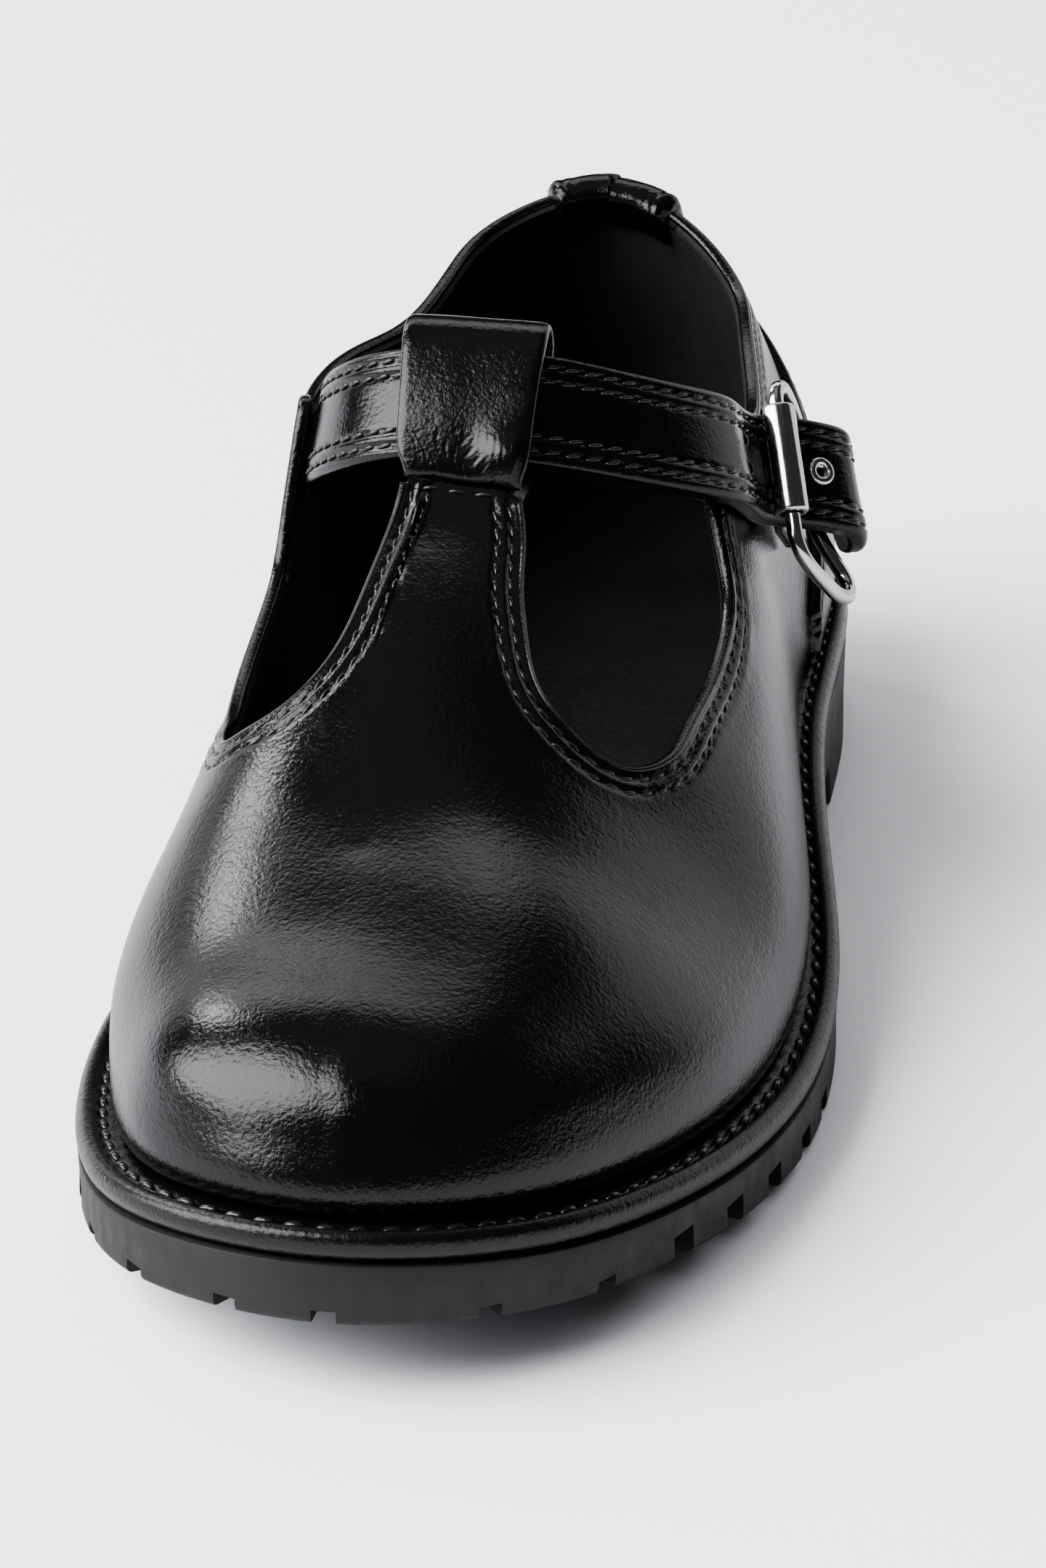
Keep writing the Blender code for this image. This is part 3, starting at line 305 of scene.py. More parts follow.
def walked(points):
    """Distance along a line at each of its points."""
    return np.concatenate([[0.0], np.cumsum(np.linalg.norm(np.diff(points, axis=0), axis=1))])


def read(at, along, rows):
    """Rows of a table read between its lines."""
    return np.stack([np.interp(at, along, column) for column in rows.T], -1)


def curve_through(points, power, first, last, shares):
    """Smooth curve through the points, read at shares of the way between two of them."""
    chord = np.linalg.norm(np.diff(points[:, :3], axis=0), axis=1) ** power
    place = np.concatenate([[0.0], np.cumsum(chord)])
    at = place[first] + (place[last] - place[first]) * shares
    return np.stack([spline(np.stack([place, column], 1), at) for column in points.T], 1)


def open_curve(points, count):
    """Smooth open curve through the points, one row per sample."""
    return curve_through(np.asarray(points, float), OPEN_SPACING, 0, -1, np.linspace(0.0, 1.0, count))


def closed_curve(points, count):
    """Smooth closed curve through the points, one row per sample."""
    points = np.asarray(points, float)
    wrapped = np.concatenate([points[-4:], points, points[:5]])
    return curve_through(wrapped, CLOSED_SPACING, 4, 4 + len(points), np.arange(count) / count)


def even_spacing(curve, spacing):
    """The same open curve with its points an even distance apart."""
    along = walked(curve)
    count = max(2, int(round(along[-1] / spacing)) + 1)
    return read(np.linspace(0.0, along[-1], count), along, curve)


def unit(vectors):
    """Vectors scaled to a length of one."""
    vectors = np.asarray(vectors, float)
    return vectors / np.linalg.norm(vectors, axis=-1, keepdims=True)


def grid_faces(rows, columns, closed_rows=False, closed_columns=False):
    """Four-sided faces over a grid of points."""
    place = np.arange(rows * columns).reshape(rows, columns)
    place = np.pad(place, ((0, int(closed_rows)), (0, int(closed_columns))), mode="wrap")
    corners = (place[:-1, :-1], place[:-1, 1:], place[1:, 1:], place[1:, :-1])
    return np.stack(corners, -1).reshape(-1, 4).tolist()


def strip_cap(around):
    """Faces straight across an outline that starts at the heel and turns at the toe."""
    middle = around // 2
    faces = [(0, 1, around - 1), (middle - 1, middle, middle + 1)]
    faces += [(i, i + 1, around - i - 1, around - i) for i in range(1, middle - 1)]
    return faces


def welt_outline():
    """Dense outline from the heel round the outer side, with its outward normals."""
    outer = [(from_heel, side) for from_heel, _, side in WELT_WIDTHS]
    inner = [(from_heel, side) for from_heel, side, _ in WELT_WIDTHS[::-1]]
    loop = closed_curve([HEEL_TIP, *outer, TOE_TIP, *inner], OUTLINE_POINTS)
    loop = np.roll(loop, -int(np.argmin(loop[:, 0])), axis=0)
    run = unit(np.roll(loop, -1, axis=0) - np.roll(loop, 1, axis=0))
    return loop, np.stack([-run[:, 1], run[:, 0]], 1)


def tread_height(from_heel):
    """Underside of the sole: heel, breast, arch, flat tread and toe spring."""
    from_heel = np.asarray(from_heel, float)
    arch = spline(TREAD_LINE, from_heel)
    rise = part_way(from_heel, *HEEL_BREAST)
    spring = spline(TOE_SPRING, from_heel)
    return np.where(from_heel < TREAD_LINE[-1][0], np.maximum(arch, 0.0) * rise, np.maximum(spring, 0.0))


def soft_clamp(values, low, high):
    """Hold values between two limits with rounded corners."""
    values = low + FAN_SOFTNESS * np.logaddexp(0.0, (values - low) / FAN_SOFTNESS)
    return high - FAN_SOFTNESS * np.logaddexp(0.0, (high - values) / FAN_SOFTNESS)


def feather_height(from_heel):
    """Bottom edge of the upper."""
    return spline(SOLE_TOP, from_heel) + FEATHER_RISE


def by_side(foot, inner, outer):
    """Value of the inner or the outer table at each foot point."""
    middle = np.interp(foot[:, 0], [0.0, LENGTH], [HEEL_TIP[1], TOE_TIP[1]])
    return np.where(foot[:, 1] > middle, spline(outer, foot[:, 0]), spline(inner, foot[:, 0]))


def rib_centre(foot):
    """Where the rib that starts at each foot point ends on the ridge."""
    from_heel = soft_clamp(foot[:, 0], HEEL_FAN, TOE_FAN)
    return np.stack([from_heel, spline(RIDGE_SIDE, from_heel)], 1)


def last_surface(foot, share):
    """Point on the last, a share of the way up the rib from each foot point."""
    centre = rib_centre(foot)
    low = feather_height(foot[:, 0])
    high = spline(RIDGE_HEIGHT, centre[:, 0])
    full = by_side(foot, FULL_INNER, FULL_OUTER)
    angle = np.clip(share, 0.0, 1.0) * np.pi / 2
    across = np.clip(np.cos(angle), 0.0, None)
    up = np.sin(angle)
    scale = (across**full + up**full) ** (-1.0 / full)
    climb = (high - low) * up * scale
    reach = foot - centre
    length = np.linalg.norm(reach, axis=1)
    swell_height = spline(SWELL_HEIGHT, foot[:, 0])
    swell = by_side(foot, SWELL_INNER, SWELL_OUTER) * climb / swell_height * np.exp(1 - climb / swell_height)
    out = across * scale + swell / length * np.minimum(1.0, across * scale * 4)
    return np.column_stack([centre + reach * out[:, None], low + climb])


def flat_place(foot, share):
    """The same point on a flattened pattern, used to lay out the triangles."""
    centre = rib_centre(foot)
    reach = foot - centre
    length = np.linalg.norm(reach, axis=1)
    rise = spline(RIDGE_HEIGHT, centre[:, 0]) - feather_height(foot[:, 0])
    stretch = (length + FLATTEN * rise) * (1 - share) / length
    return centre + reach * stretch[:, None]


class Feather:
    """Bottom line of the last, walked from the heel round the outer side."""

    def __init__(self):
        loop, normal = welt_outline()
        line = loop - normal * spline(WELT_REACH, loop[:, 0])[:, None]
        self.line = np.concatenate([line, line[:1]])
        self.along = walked(self.line)
        self.toe = int(np.argmax(line[:, 0]))

    def foot(self, walk):
        """Feather point after walking a distance in millimetres."""
        return read(np.mod(walk, self.along[-1]), self.along, self.line)

    def walk(self, from_heel, outer):
        """Walking distance of the point at a distance from the heel, on one side."""
        if outer:
            return np.interp(from_heel, self.line[: self.toe + 1, 0], self.along[: self.toe + 1])
        return np.interp(from_heel, self.line[: self.toe - 1 : -1, 0], self.along[: self.toe - 1 : -1])

    def point(self, walk, share):
        """Point on the last above a walked distance."""
        return last_surface(self.foot(walk), share)

    def normal(self, walk, share):
        """Outward direction of the last there."""
        ahead = self.point(walk + WALK_STEP, share) - self.point(walk - WALK_STEP, share)
        return unit(np.cross(self.upward(walk, share), ahead))

    def upward(self, walk, share):
        """Short step up the last there."""
        return self.point(walk, share + SHARE_STEP) - self.point(walk, share - SHARE_STEP)

    def edge(self, table, outer, count):
        """Smooth line on the last through table rows, as walk and share."""
        rows = np.asarray(table, float)
        walk = self.walk(rows[:, 0], outer)
        return open_curve(np.stack([walk, rows[:, 1] * 100.0], 1), count) * (1.0, 0.01)


def opening_edge(feather):
    """Edge of collar, cut-outs and T-bar as walk and share, closed."""
    outer = feather.edge(OUTER_EDGE, True, EDGE_POINTS)
    inner = feather.edge(INNER_EDGE, False, EDGE_POINTS)
    (outer_walk, outer_share), (inner_walk, inner_share) = outer[-1], inner[0]
    steps = np.arange(1, BAR_END_STEPS + 1) / BAR_END_STEPS
    across = [(outer_walk, outer_share + (1 - outer_share) * step) for step in steps]
    across += [(inner_walk, 1 + (inner_share - 1) * step) for step in steps[:-1]]
    whole = feather.along[-1]
    return [outer, np.array(across), np.concatenate([inner, [(whole, OUTER_EDGE[0][1])]])]


def inside(points, polygon):
    """Which flat points lie inside a closed polygon."""
    result = np.zeros(len(points), bool)
    following = np.roll(polygon, -1, axis=0)
    for (x0, y0), (x1, y1) in zip(polygon, following):
        crosses = (y0 > points[:, 1]) != (y1 > points[:, 1])
        if y0 != y1:
            result ^= crosses & (points[:, 0] < (x1 - x0) * (points[:, 1] - y0) / (y1 - y0) + x0)
    return result


def facing_out(points, triangles):
    """Turn every triangle so that it faces away from the inside of the shoe."""
    corners = points[triangles]
    direction = np.cross(corners[:, 1] - corners[:, 0], corners[:, 2] - corners[:, 0])
    centre = corners.mean(axis=1)
    along = np.clip(centre[:, 0], HEEL_FAN, TOE_FAN)
    heart = np.column_stack([along, np.full(len(centre), HEART_SIDE), centre[:, 2] / 2])
    wrong = ((centre - heart) * direction).sum(axis=1) < 0
    triangles = triangles.copy()
    triangles[wrong] = triangles[wrong][:, ::-1]
    return triangles


def strap_frames(count):
    """Centres of the strap with its width and outward directions."""
    tail = buckle_point(*np.array(TAIL_LINE).T)
    lean = np.tile(STRAP_LINE[-1][3:], (len(tail), 1))
    line = open_curve(np.concatenate([STRAP_LINE, np.column_stack([tail, lean])]), STRAP_POINTS)
    line = even_spacing(line, STRAP_SPACING)
    keep = np.linspace(0, len(line) - 1, count).round().astype(int)
    run = unit(np.gradient(line[:, :3], axis=0))[keep]
    line = line[keep]
    lean = line[:, 3:5]
    wide = np.column_stack([-lean[:, 0], lean[:, 1], np.sqrt(1 - (lean**2).sum(axis=1))])
    wide = unit(wide - run * (wide * run).sum(axis=1)[:, None])
    return line[:, :3], wide, unit(np.cross(run, wide))


def buckle_axes():
    """Directions back from the roller, down along it and out from the shoe."""
    back = unit(BUCKLE_BACK)
    down = np.asarray(BUCKLE_DOWN, float)
    down = unit(down - back * (down @ back))
    out = np.cross(back, down)
    return back, down, out if out[1] > 0 else -out


def buckle_point(back_by, down_by, out_by):
    """Points measured from the roller in the buckle's own directions."""
    back, down, out = buckle_axes()
    parts = [np.asarray(value, float)[..., None] for value in (back_by, down_by, out_by)]
    return np.asarray(BUCKLE_CENTRE) + back * parts[0] + down * parts[1] + out * parts[2]


def circle(radius, count):
    """Corners of a regular polygon."""
    turn = 2 * np.pi * np.arange(count) / count
    return np.stack([np.cos(turn), np.sin(turn)], 1) * radius


def eyelet_place():
    """Centre of the eyelet on the middle of the strap, with the strap's outward direction there."""
    centres, _, out = strap_frames(600)
    back = (centres - np.asarray(BUCKLE_CENTRE)) @ buckle_axes()[0]
    near = int(np.argmin(abs(back - EYELET_BACK) + 100 * (centres[:, 1] < BUCKLE_CENTRE[1])))
    return centres[near], out[near]


# ---------------------------------------------------------------- materials


class Look:
    """New Principled material with its even values on the shader and textures in the object's space."""

    def __init__(self, name, colour, roughness, level=0.5, metallic=0.0):
        self.material = bpy.data.materials.new(name)
        self.material.use_nodes = True
        self.nodes, self.links = self.material.node_tree.nodes, self.material.node_tree.links
        self.shader = self.nodes["Principled BSDF"]
        self.shader.inputs["Base Color"].default_value = (*colour, 1.0)
        self.shader.inputs["Roughness"].default_value = roughness
        self.shader.inputs["Metallic"].default_value = metallic
        self.shader.inputs["Specular IOR Level"].default_value = level
        self.place = self.nodes.new("ShaderNodeTexCoord").outputs["Object"]

    def add(self, kind, output, values):
        """New node of a kind with its inputs set or linked, giving one of its outputs."""
        node = self.nodes.new(kind)
        for name, value in values.items():
            if isinstance(value, bpy.types.NodeSocket):
                self.links.new(value, node.inputs[name])
            else:
                node.inputs[name].default_value = value
        return node.outputs[output]

    def noise(self, scale, detail, roughness=0.5, stretch=None):
        """Noise with its scale per metre."""
        place = self.place
        if stretch is not None:
            place = self.add("ShaderNodeMapping", "Vector", {"Vector": place, "Scale": stretch})
        values = {"Vector": place, "Scale": scale, "Detail": detail, "Roughness": roughness}
        return self.add("ShaderNodeTexNoise", "Fac", values)

    def cells(self, scale, feature="F1"):
        """Cells with their scale per metre."""
        distance = self.add("ShaderNodeTexVoronoi", "Distance", {"Vector": self.place, "Scale": scale})
        distance.node.feature = feature
        return distance

    def tint(self, value, dark, light):
        """Blend of two colours by a value."""
        colour = self.add("ShaderNodeValToRGB", "Color", {"Fac": value})
        for element, at, shade in zip(colour.node.color_ramp.elements, TEXTURE_RANGE, (dark, light)):
            element.position = at
            element.color = (*shade, 1.0)
        return colour

    def complete(self, polish, colour, layers):
        """Material with its polish (value, low, high), its colour and its bumps (value, millimetres)."""
        if polish is not None:
            value, low, high = polish
            start, end = TEXTURE_RANGE
            spread = {"Value": value, "From Min": start, "From Max": end, "To Min": low, "To Max": high}
            roughness = self.add("ShaderNodeMapRange", "Result", spread)
            self.links.new(roughness, self.shader.inputs["Roughness"])
        self.links.new(colour, self.shader.inputs["Base Color"])
        bump = {}
        for value, height in layers:
            bump |= {"Height": value, "Distance": height * MM, "Strength": 1.0}
            bump["Normal"] = self.add("ShaderNodeBump", "Normal", bump)
        self.links.new(bump["Normal"], self.shader.inputs["Normal"])
        return self.material


# Part of a texture's values that a blend is spread over
TEXTURE_RANGE = (0.3, 0.7)
LINING_TINTS = ((0.0014, 0.0014, 0.0015), (0.0028, 0.0028, 0.0029))
PAPER_IN_POLISH = (0.36, 0.37, 0.39, 1.0)


def polished_leather(name, roughness=0.13, grain=1.0, wave=1.0):
    """Glossy black leather: fine grain, slow waves and small changes of polish."""
    look = Look(name, (0.0009, 0.0009, 0.001), roughness, 0.3)
    creased = look.noise(700.0, 3.0, 0.55)
    layers = (
        (look.noise(110.0, 2.0), 0.07 * wave),
        (creased, 0.045 * grain),
        (look.noise(2400.0, 3.0, 0.6), 0.055 * grain),
        (look.cells(1900.0, "SMOOTH_F1"), 0.02 * grain),
    )
    colour = look.tint(look.noise(35.0, 3.0), (0.0006, 0.0006, 0.0007), (0.0012, 0.0012, 0.0014))
    return look.complete((creased, roughness * 0.8, roughness * 1.3), colour, layers)


def lining_leather(name, shade):
    """Dull black lining with a soft nap, its colour scaled by shade into a lighter painted-light copy and a
    darker painted-shade copy.
    """
    look = Look(name, (0.002, 0.002, 0.002), 0.75, 0.15)
    fine = look.noise(1400.0, 5.0, 0.65)
    # shade scales both tints: the lining's copy is painted lighter, and the footbed's copy is painted darker
    # as shade inside the shoe
    dark, light = (tuple(shade * level for level in colour) for colour in LINING_TINTS)
    colour = look.tint(look.noise(90.0, 3.0), dark, light)
    return look.complete((fine, 0.58, 0.85), colour, ((fine, 0.03), (look.cells(900.0), 0.02)))


def thread_material(name):
    """Waxed black thread with the twist of its strands."""
    look = Look(name, (0.003, 0.003, 0.0033), 0.24, 0.55)
    strands = look.noise(2600.0, 2.0, 0.5, (1.0, 0.35, 1.0))
    colour = look.tint(look.noise(300.0, 3.0), (0.002, 0.002, 0.0022), (0.004, 0.004, 0.0044))
    return look.complete((strands, 0.16, 0.3), colour, ((strands, 0.05),))


def sole_rubber(name):
    """Matte charcoal rubber with a faint mould texture and scuffs."""
    look = Look(name, (0.006, 0.006, 0.0063), 0.6, 0.28)
    scuff = look.noise(500.0, 4.0, 0.6, (1.0, 1.0, 0.6))
    colour = look.tint(look.noise(60.0, 4.0), (0.0048, 0.0048, 0.005), (0.0072, 0.0072, 0.0075))
    return look.complete((scuff, 0.45, 0.66), colour, ((look.noise(2200.0, 4.0, 0.6), 0.03), (scuff, 0.02)))


def silver_metal(name):
    """Polished nickel with faint brushing."""
    look = Look(name, (0.80, 0.79, 0.76), 0.12, metallic=1.0)
    brush = look.noise(1200.0, 3.0, 0.6, (1.0, 1.0, 0.25))
    colour = look.tint(look.noise(150.0, 2.0), (0.74, 0.73, 0.70), (0.84, 0.83, 0.80))
    return look.complete((brush, 0.09, 0.17), colour, ((brush, 0.004),))


def studio_paper(name):
    """Pale matte floor."""
    look = Look(name, (0.80, 0.81, 0.83), 0.8)
    # In the polish the paper shows dimmer than it is, because the view transform holds its whites back
    blend = look.nodes.new("ShaderNodeMix")
    blend.data_type = "RGBA"
    look.links.new(look.nodes.new("ShaderNodeLightPath").outputs["Is Glossy Ray"], blend.inputs["Factor"])
    look.links.new(look.tint(look.noise(4.0, 4.0), (0.78, 0.80, 0.85), (0.81, 0.83, 0.88)), blend.inputs["A"])
    blend.inputs["B"].default_value = PAPER_IN_POLISH
    return look.complete(None, blend.outputs["Result"], ((look.noise(900.0, 3.0), 0.05),))


# ---------------------------------------------------------------- pieces


def world(points):
    """Row-frame metres from from_heel, side and height in millimetres."""
    points = np.asarray(points, float)
    return np.stack([points[..., 1], LENGTH / 2 - points[..., 0], points[..., 2]], -1) * MM


def add_piece(name, points, faces, material, slot, replaced, sharp=None):
    """Make one smooth-shaded piece that rides on the shoe."""
    mesh = bpy.data.meshes.new(name)
    corners = [tuple(int(i) for i in face) for face in faces]
    mesh.from_pydata(world(points).reshape(-1, 3).tolist(), [], corners)
    mesh.materials.append(material)
    mesh.polygons.foreach_set("use_smooth", [True] * len(mesh.polygons))
    piece = bpy.data.objects.new(name, mesh)
    bpy.context.collection.objects.link(piece)
    if sharp is not None:
        mesh.set_sharp_from_angle(angle=math.radians(sharp))
    mesh.update()
    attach(piece, "root")
    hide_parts(replaced)
    return piece


def fix_normals(piece):
    """Turn all faces of a closed piece outwards."""
    work = bmesh.new()
    work.from_mesh(piece.data)
    bmesh.ops.recalc_face_normals(work, faces=work.faces[:])
    work.to_mesh(piece.data)
    work.free()


def end_caps(count, around):
    """One face over the first ring and one over the last."""
    return [tuple(range(around)), tuple((count - 1) * around + i for i in reversed(range(around)))]


def add_swept(name, rings, *rest):
    """Closed piece whose section is carried along a line."""
    rings = np.array(rings)
    count, around = rings.shape[:2]
    faces = grid_faces(count, around, closed_columns=True) + end_caps(count, around)
    fix_normals(add_piece(name, rings, faces, *rest))


def joined(parts):
    """Join several sets of points and faces into one."""
    points, faces, total = [], [], 0
    for part_points, part_faces in parts:
        part_points = np.asarray(part_points, float).reshape(-1, 3)
        points.append(part_points)
        faces += [tuple(int(i) + total for i in face) for face in part_faces]
        total += len(part_points)
    return np.concatenate(points), faces


# Stitches: pitch, length, width, height
EDGE_STITCH = (2.25, 1.75, 0.4, 0.36)
STRAP_STITCH = (2.25, 1.75, 0.4, 0.34)
STRAP_SEAM_STITCH = (2.25, 1.7, 0.46, 0.38)
BAR_STITCH = (2.3, 1.9, 0.42, 0.38)
WELT_STITCH = (3.1, 2.5, 0.85, 0.7)
STITCH_SLANT = 0.3
STITCH_CORNERS = 8
# How far ahead and behind the direction of a stitch is read
STITCH_REACH = 0.2
# One stitch: share of its length, share of its width, share of its height above the line
STITCH_PROFILE = (
    (-0.5, 0.25, -0.5), (-0.44, 0.7, -0.1), (-0.25, 1.0, 0.22), (0.0, 1.05, 0.3),
    (0.25, 1.0, 0.22), (0.44, 0.7, -0.1), (0.5, 0.25, -0.5),
)


def stitch_line(points, normals, stitch):
    """Row of rounded stitches along a line on a surface."""
    pitch, length, width, height = stitch
    along = walked(points)
    count = max(1, int(along[-1] / pitch))
    pitch = along[-1] / count
    spin = np.arange(STITCH_CORNERS) * 2 * np.pi / STITCH_CORNERS
    faces = grid_faces(len(STITCH_PROFILE), STITCH_CORNERS, closed_columns=True)
    faces += [face[::-1] for face in end_caps(len(STITCH_PROFILE), STITCH_CORNERS)]
    parts = []
    for number in range(count):
        rings = []
        for share, wide, lift in STITCH_PROFILE:
            at = np.clip((number + 0.5) * pitch + share * length, 0.0, along[-1])
            ahead = read(min(at + STITCH_REACH, along[-1]), along, points)
            behind = read(max(at - STITCH_REACH, 0.0), along, points)
            up = unit(read(at, along, normals))
            side = unit(np.cross(up, ahead - behind))
            beside = (np.cos(spin) * wide * width / 2 + share * STITCH_SLANT)[:, None]
            above = (np.sin(spin) * wide * height / 2)[:, None]
            rings.append(read(at, along, points) + up * (lift * height) + side * beside + up * above)
        parts.append((np.array(rings), faces))
    return joined(parts)


# ---------------------------------------------------------------- flat chart of the upper


# The T-bar's end is raised round one distance from the heel, from its middle to its outer side
BAR_LIFT = 1.3
BAR_LIFT_FROM_HEEL = 103.0
BAR_LIFT_REACH = 9.0
BAR_LIFT_RISES = (-5.0, 2.4)
BAR_LIFT_FALLS = (9.0, 5.0)
BAR_LOWEST = 35.0
# Soft rises and hollows of the leather over vamp and toe: height, from_heel, side, reach along, reach across
TOE_FORM = (
    (1.8, 140.0, -2.0, 14.0, 30.0),
    (-2.2, 164.0, 4.0, 12.0, 24.0),
    (-2.0, 183.0, -6.0, 12.0, 25.0),
    (-1.7, 158.0, -17.0, 10.0, 14.0),
)
TOE_FORM_FOOT = 9.0
TOE_TURN_START = 165.0
TOE_TURN_LENGTH = 12.0
TOE_CENTRE_HEIGHT = 5.0


def bar_lift(points):
    """Points with the outer side of the T-bar's end raised, so that its seam runs nearly level."""
    from_heel, side, height = points.T
    share = eased(part_way(side, *BAR_LIFT_RISES)) * part_way(side, *BAR_LIFT_FALLS)
    lift = BAR_LIFT * share * hump(from_heel - BAR_LIFT_FROM_HEEL, BAR_LIFT_REACH)
    return points + (lift * (height > BAR_LOWEST))[:, None] * (0.0, 0.0, 1.0)


def toe_outward(points):
    """Smooth outward direction over vamp and toe."""
    from_heel = np.clip(points[:, 0], HEEL_FAN, TOE_FAN)
    slope = (spline(RIDGE_HEIGHT, from_heel - 1.0) - spline(RIDGE_HEIGHT, from_heel + 1.0)) / 2.0
    forward = slope + np.clip(points[:, 0] - TOE_TURN_START, 0.0, None) / TOE_TURN_LENGTH
    above = np.clip(points[:, 2] - TOE_CENTRE_HEIGHT, TOE_CENTRE_HEIGHT, None)
    across = (points[:, 1] - spline(RIDGE_SIDE, from_heel)) / above
    return unit(np.stack([forward, across, np.ones(len(points))], 1))


def toe_form(points, climb):
    """How far the leather over vamp and toe lies out from the last, fading out at its foot."""
    form = np.zeros(len(points))
    for height, from_heel, side, long, broad in TOE_FORM:
        form += height * hump(points[:, 0] - from_heel, long) * hump(points[:, 1] - side, broad)
    return form * eased(climb / TOE_FORM_FOOT)


# Walks and shares from which the way back to the last starts
CHART_STEP = 1.0
CHART_SHARES = 70
CHART_PASSES = 4
# Half steps in walk and share for its slopes, and the largest moves in one pass
HALF_WALK = 0.5
HALF_SHARE = 0.01
MOST_WALK = 2.0
MOST_SHARE = 0.03


def crossed(first, second):
    """Area spanned by pairs of flat directions."""
    return first[:, 0] * second[:, 1] - first[:, 1] * second[:, 0]


class Chart:
    """Continuous flat map of the whole upper, with the way back to the last."""

    def __init__(self, feather):
        self.feather = feather
        walks = np.arange(0.0, feather.along[-1], CHART_STEP)
        shares = np.linspace(0.0, 1.0, CHART_SHARES)
        walk, share = np.meshgrid(walks, shares, indexing="ij")
        self.start = np.stack([walk.ravel(), share.ravel()], 1)
        flat = self.flat(self.start)
        self.tree = kdtree.KDTree(len(flat))
        for index, (x, y) in enumerate(flat.tolist()):
            self.tree.insert((x, y, 0.0), index)
        self.tree.balance()

    def flat(self, at):
        """Flat place of walk and share."""
        return flat_place(self.feather.foot(at[:, 0]), at[:, 1])

    def invert(self, flat):
        """Walk and share of flat places."""
        at = self.start[[self.tree.find((x, y, 0.0))[1] for x, y in flat.tolist()]].copy()
        along, up = np.array((HALF_WALK, 0.0)), np.array((0.0, HALF_SHARE))
        for _ in range(CHART_PASSES):
            missing = flat - self.flat(at)
            by_walk = (self.flat(at + along) - self.flat(at - along)) / (2 * HALF_WALK)
            by_share = (self.flat(at + up) - self.flat(at - up)) / (2 * HALF_SHARE)
            area = crossed(by_walk, by_share)
            area = np.where(abs(area) < 1.0, np.sign(area) + (area == 0), area)
            walk = crossed(missing, by_share) / area
            share = crossed(by_walk, missing) / area
            at[:, 0] += np.clip(walk, -MOST_WALK, MOST_WALK)
            at[:, 1] = np.clip(at[:, 1] + np.clip(share, -MOST_SHARE, MOST_SHARE), 0.0, 1.0)
        return at

    def surface(self, flat):
        """Points on the last at flat places."""
        at = self.invert(flat)
        foot = self.feather.foot(at[:, 0])
        points = last_surface(foot, at[:, 1])
        out = toe_form(points, points[:, 2] - feather_height(foot[:, 0]))
        return bar_lift(points + toe_outward(points) * out[:, None])

    def frames(self, flat, step=0.4):
        """Points on the last with their two flat slopes and outward directions."""
        along = (self.surface(flat + (step, 0.0)) - self.surface(flat - (step, 0.0))) / (2 * step)
        across = (self.surface(flat + (0.0, step)) - self.surface(flat - (0.0, step))) / (2 * step)
        normal = unit(np.cross(along, across))
        return self.surface(flat), along, across, normal


MARCH_STEP = 0.5


class Opening:
    """Edge of the collar, cut-outs and T-bar, with rows of points at set distances inside it."""

    def __init__(self, chart, spacing):
        self.chart = chart
        pieces = []
        for piece in opening_edge(chart.feather):
            points = chart.feather.point(piece[:, 0], piece[:, 1])
            along = walked(points)
            count = max(3, int(round(along[-1] / spacing)) + 1)
            pieces.append(read(np.linspace(0.0, along[-1], count), along, piece))
        outer, across, inner = pieces
        across = across[1:-1]
        self.sizes = len(outer), len(across), len(inner) - 1
        whole = np.concatenate([outer, across, inner[:-1]])
        self.flat = chart.flat(whole)
        self.points, by_x, by_y, self.normal = chart.frames(self.flat)
        self.along = walked(self.points)
        # Straight in from the edge over the last, as a step on the flat chart
        run = np.roll(self.flat, -1, axis=0) - np.roll(self.flat, 1, axis=0)
        metric = np.stack([(by_x * by_x).sum(1), (by_x * by_y).sum(1), (by_y * by_y).sum(1)], 1)
        area = metric[:, 0] * metric[:, 2] - metric[:, 1] ** 2
        turned = np.stack([-run[:, 1], run[:, 0]], 1)
        inward = np.stack([
            metric[:, 2] * turned[:, 0] - metric[:, 1] * turned[:, 1],
            metric[:, 0] * turned[:, 1] - metric[:, 1] * turned[:, 0],
        ], 1) / area[:, None]
        ahead = np.roll(self.flat, -1, axis=0)
        turning = crossed(self.flat, ahead).sum()
        self.way = unit(inward) * (-1.0 if turning > 0 else 1.0)
        self.inward = unit(by_x * self.way[:, :1] + by_y * self.way[:, 1:])
        self.edged = np.ones(len(self.flat), bool)
        self.edged[self.sizes[0] : self.sizes[0] + self.sizes[1]] = False
        self.tree = kdtree.KDTree(int(self.edged.sum()))
        for index in np.flatnonzero(self.edged):
            self.tree.insert(self.points[index], int(index))
        self.tree.balance()

    def march(self, distances):
        """Flat places at growing distances inside every edge point."""
        place, rows, done = self.flat.copy(), [], 0.0
        for distance in distances:
            steps = max(1, int(math.ceil((distance - done) / MARCH_STEP)))
            for _ in range(steps):
                _, by_x, by_y, _ = self.chart.frames(place)
                size = np.linalg.norm(by_x * self.way[:, :1] + by_y * self.way[:, 1:], axis=1)
                place = place + self.way * ((distance - done) / steps / size)[:, None]
            done = distance
            rows.append(place)
        return rows

    def distance(self, points):
        """Distance of points on the last from the edge, and the nearest edge point."""
        found = [self.tree.find(Vector(point)) for point in points.tolist()]
        return np.array([f[2] for f in found]), np.array([f[1] for f in found])


# ---------------------------------------------------------------- upper

STITCH_ROWS = (1.7, 3.3)
BOTTOM_SPACING = 0.9
EDGE_ROWS = (0.7, 0.95, 1.2, 1.45, 1.7, 1.95, 2.2, 2.5, 2.8, 3.05, 3.3, 3.55, 3.85, 4.3, 5.0, 5.8)
EDGE_STEP = 0.55
LEATHER_SPACING = 1.05
FOOT_ROWS = (0.35, 0.8, 1.4, 2.2, 3.1)
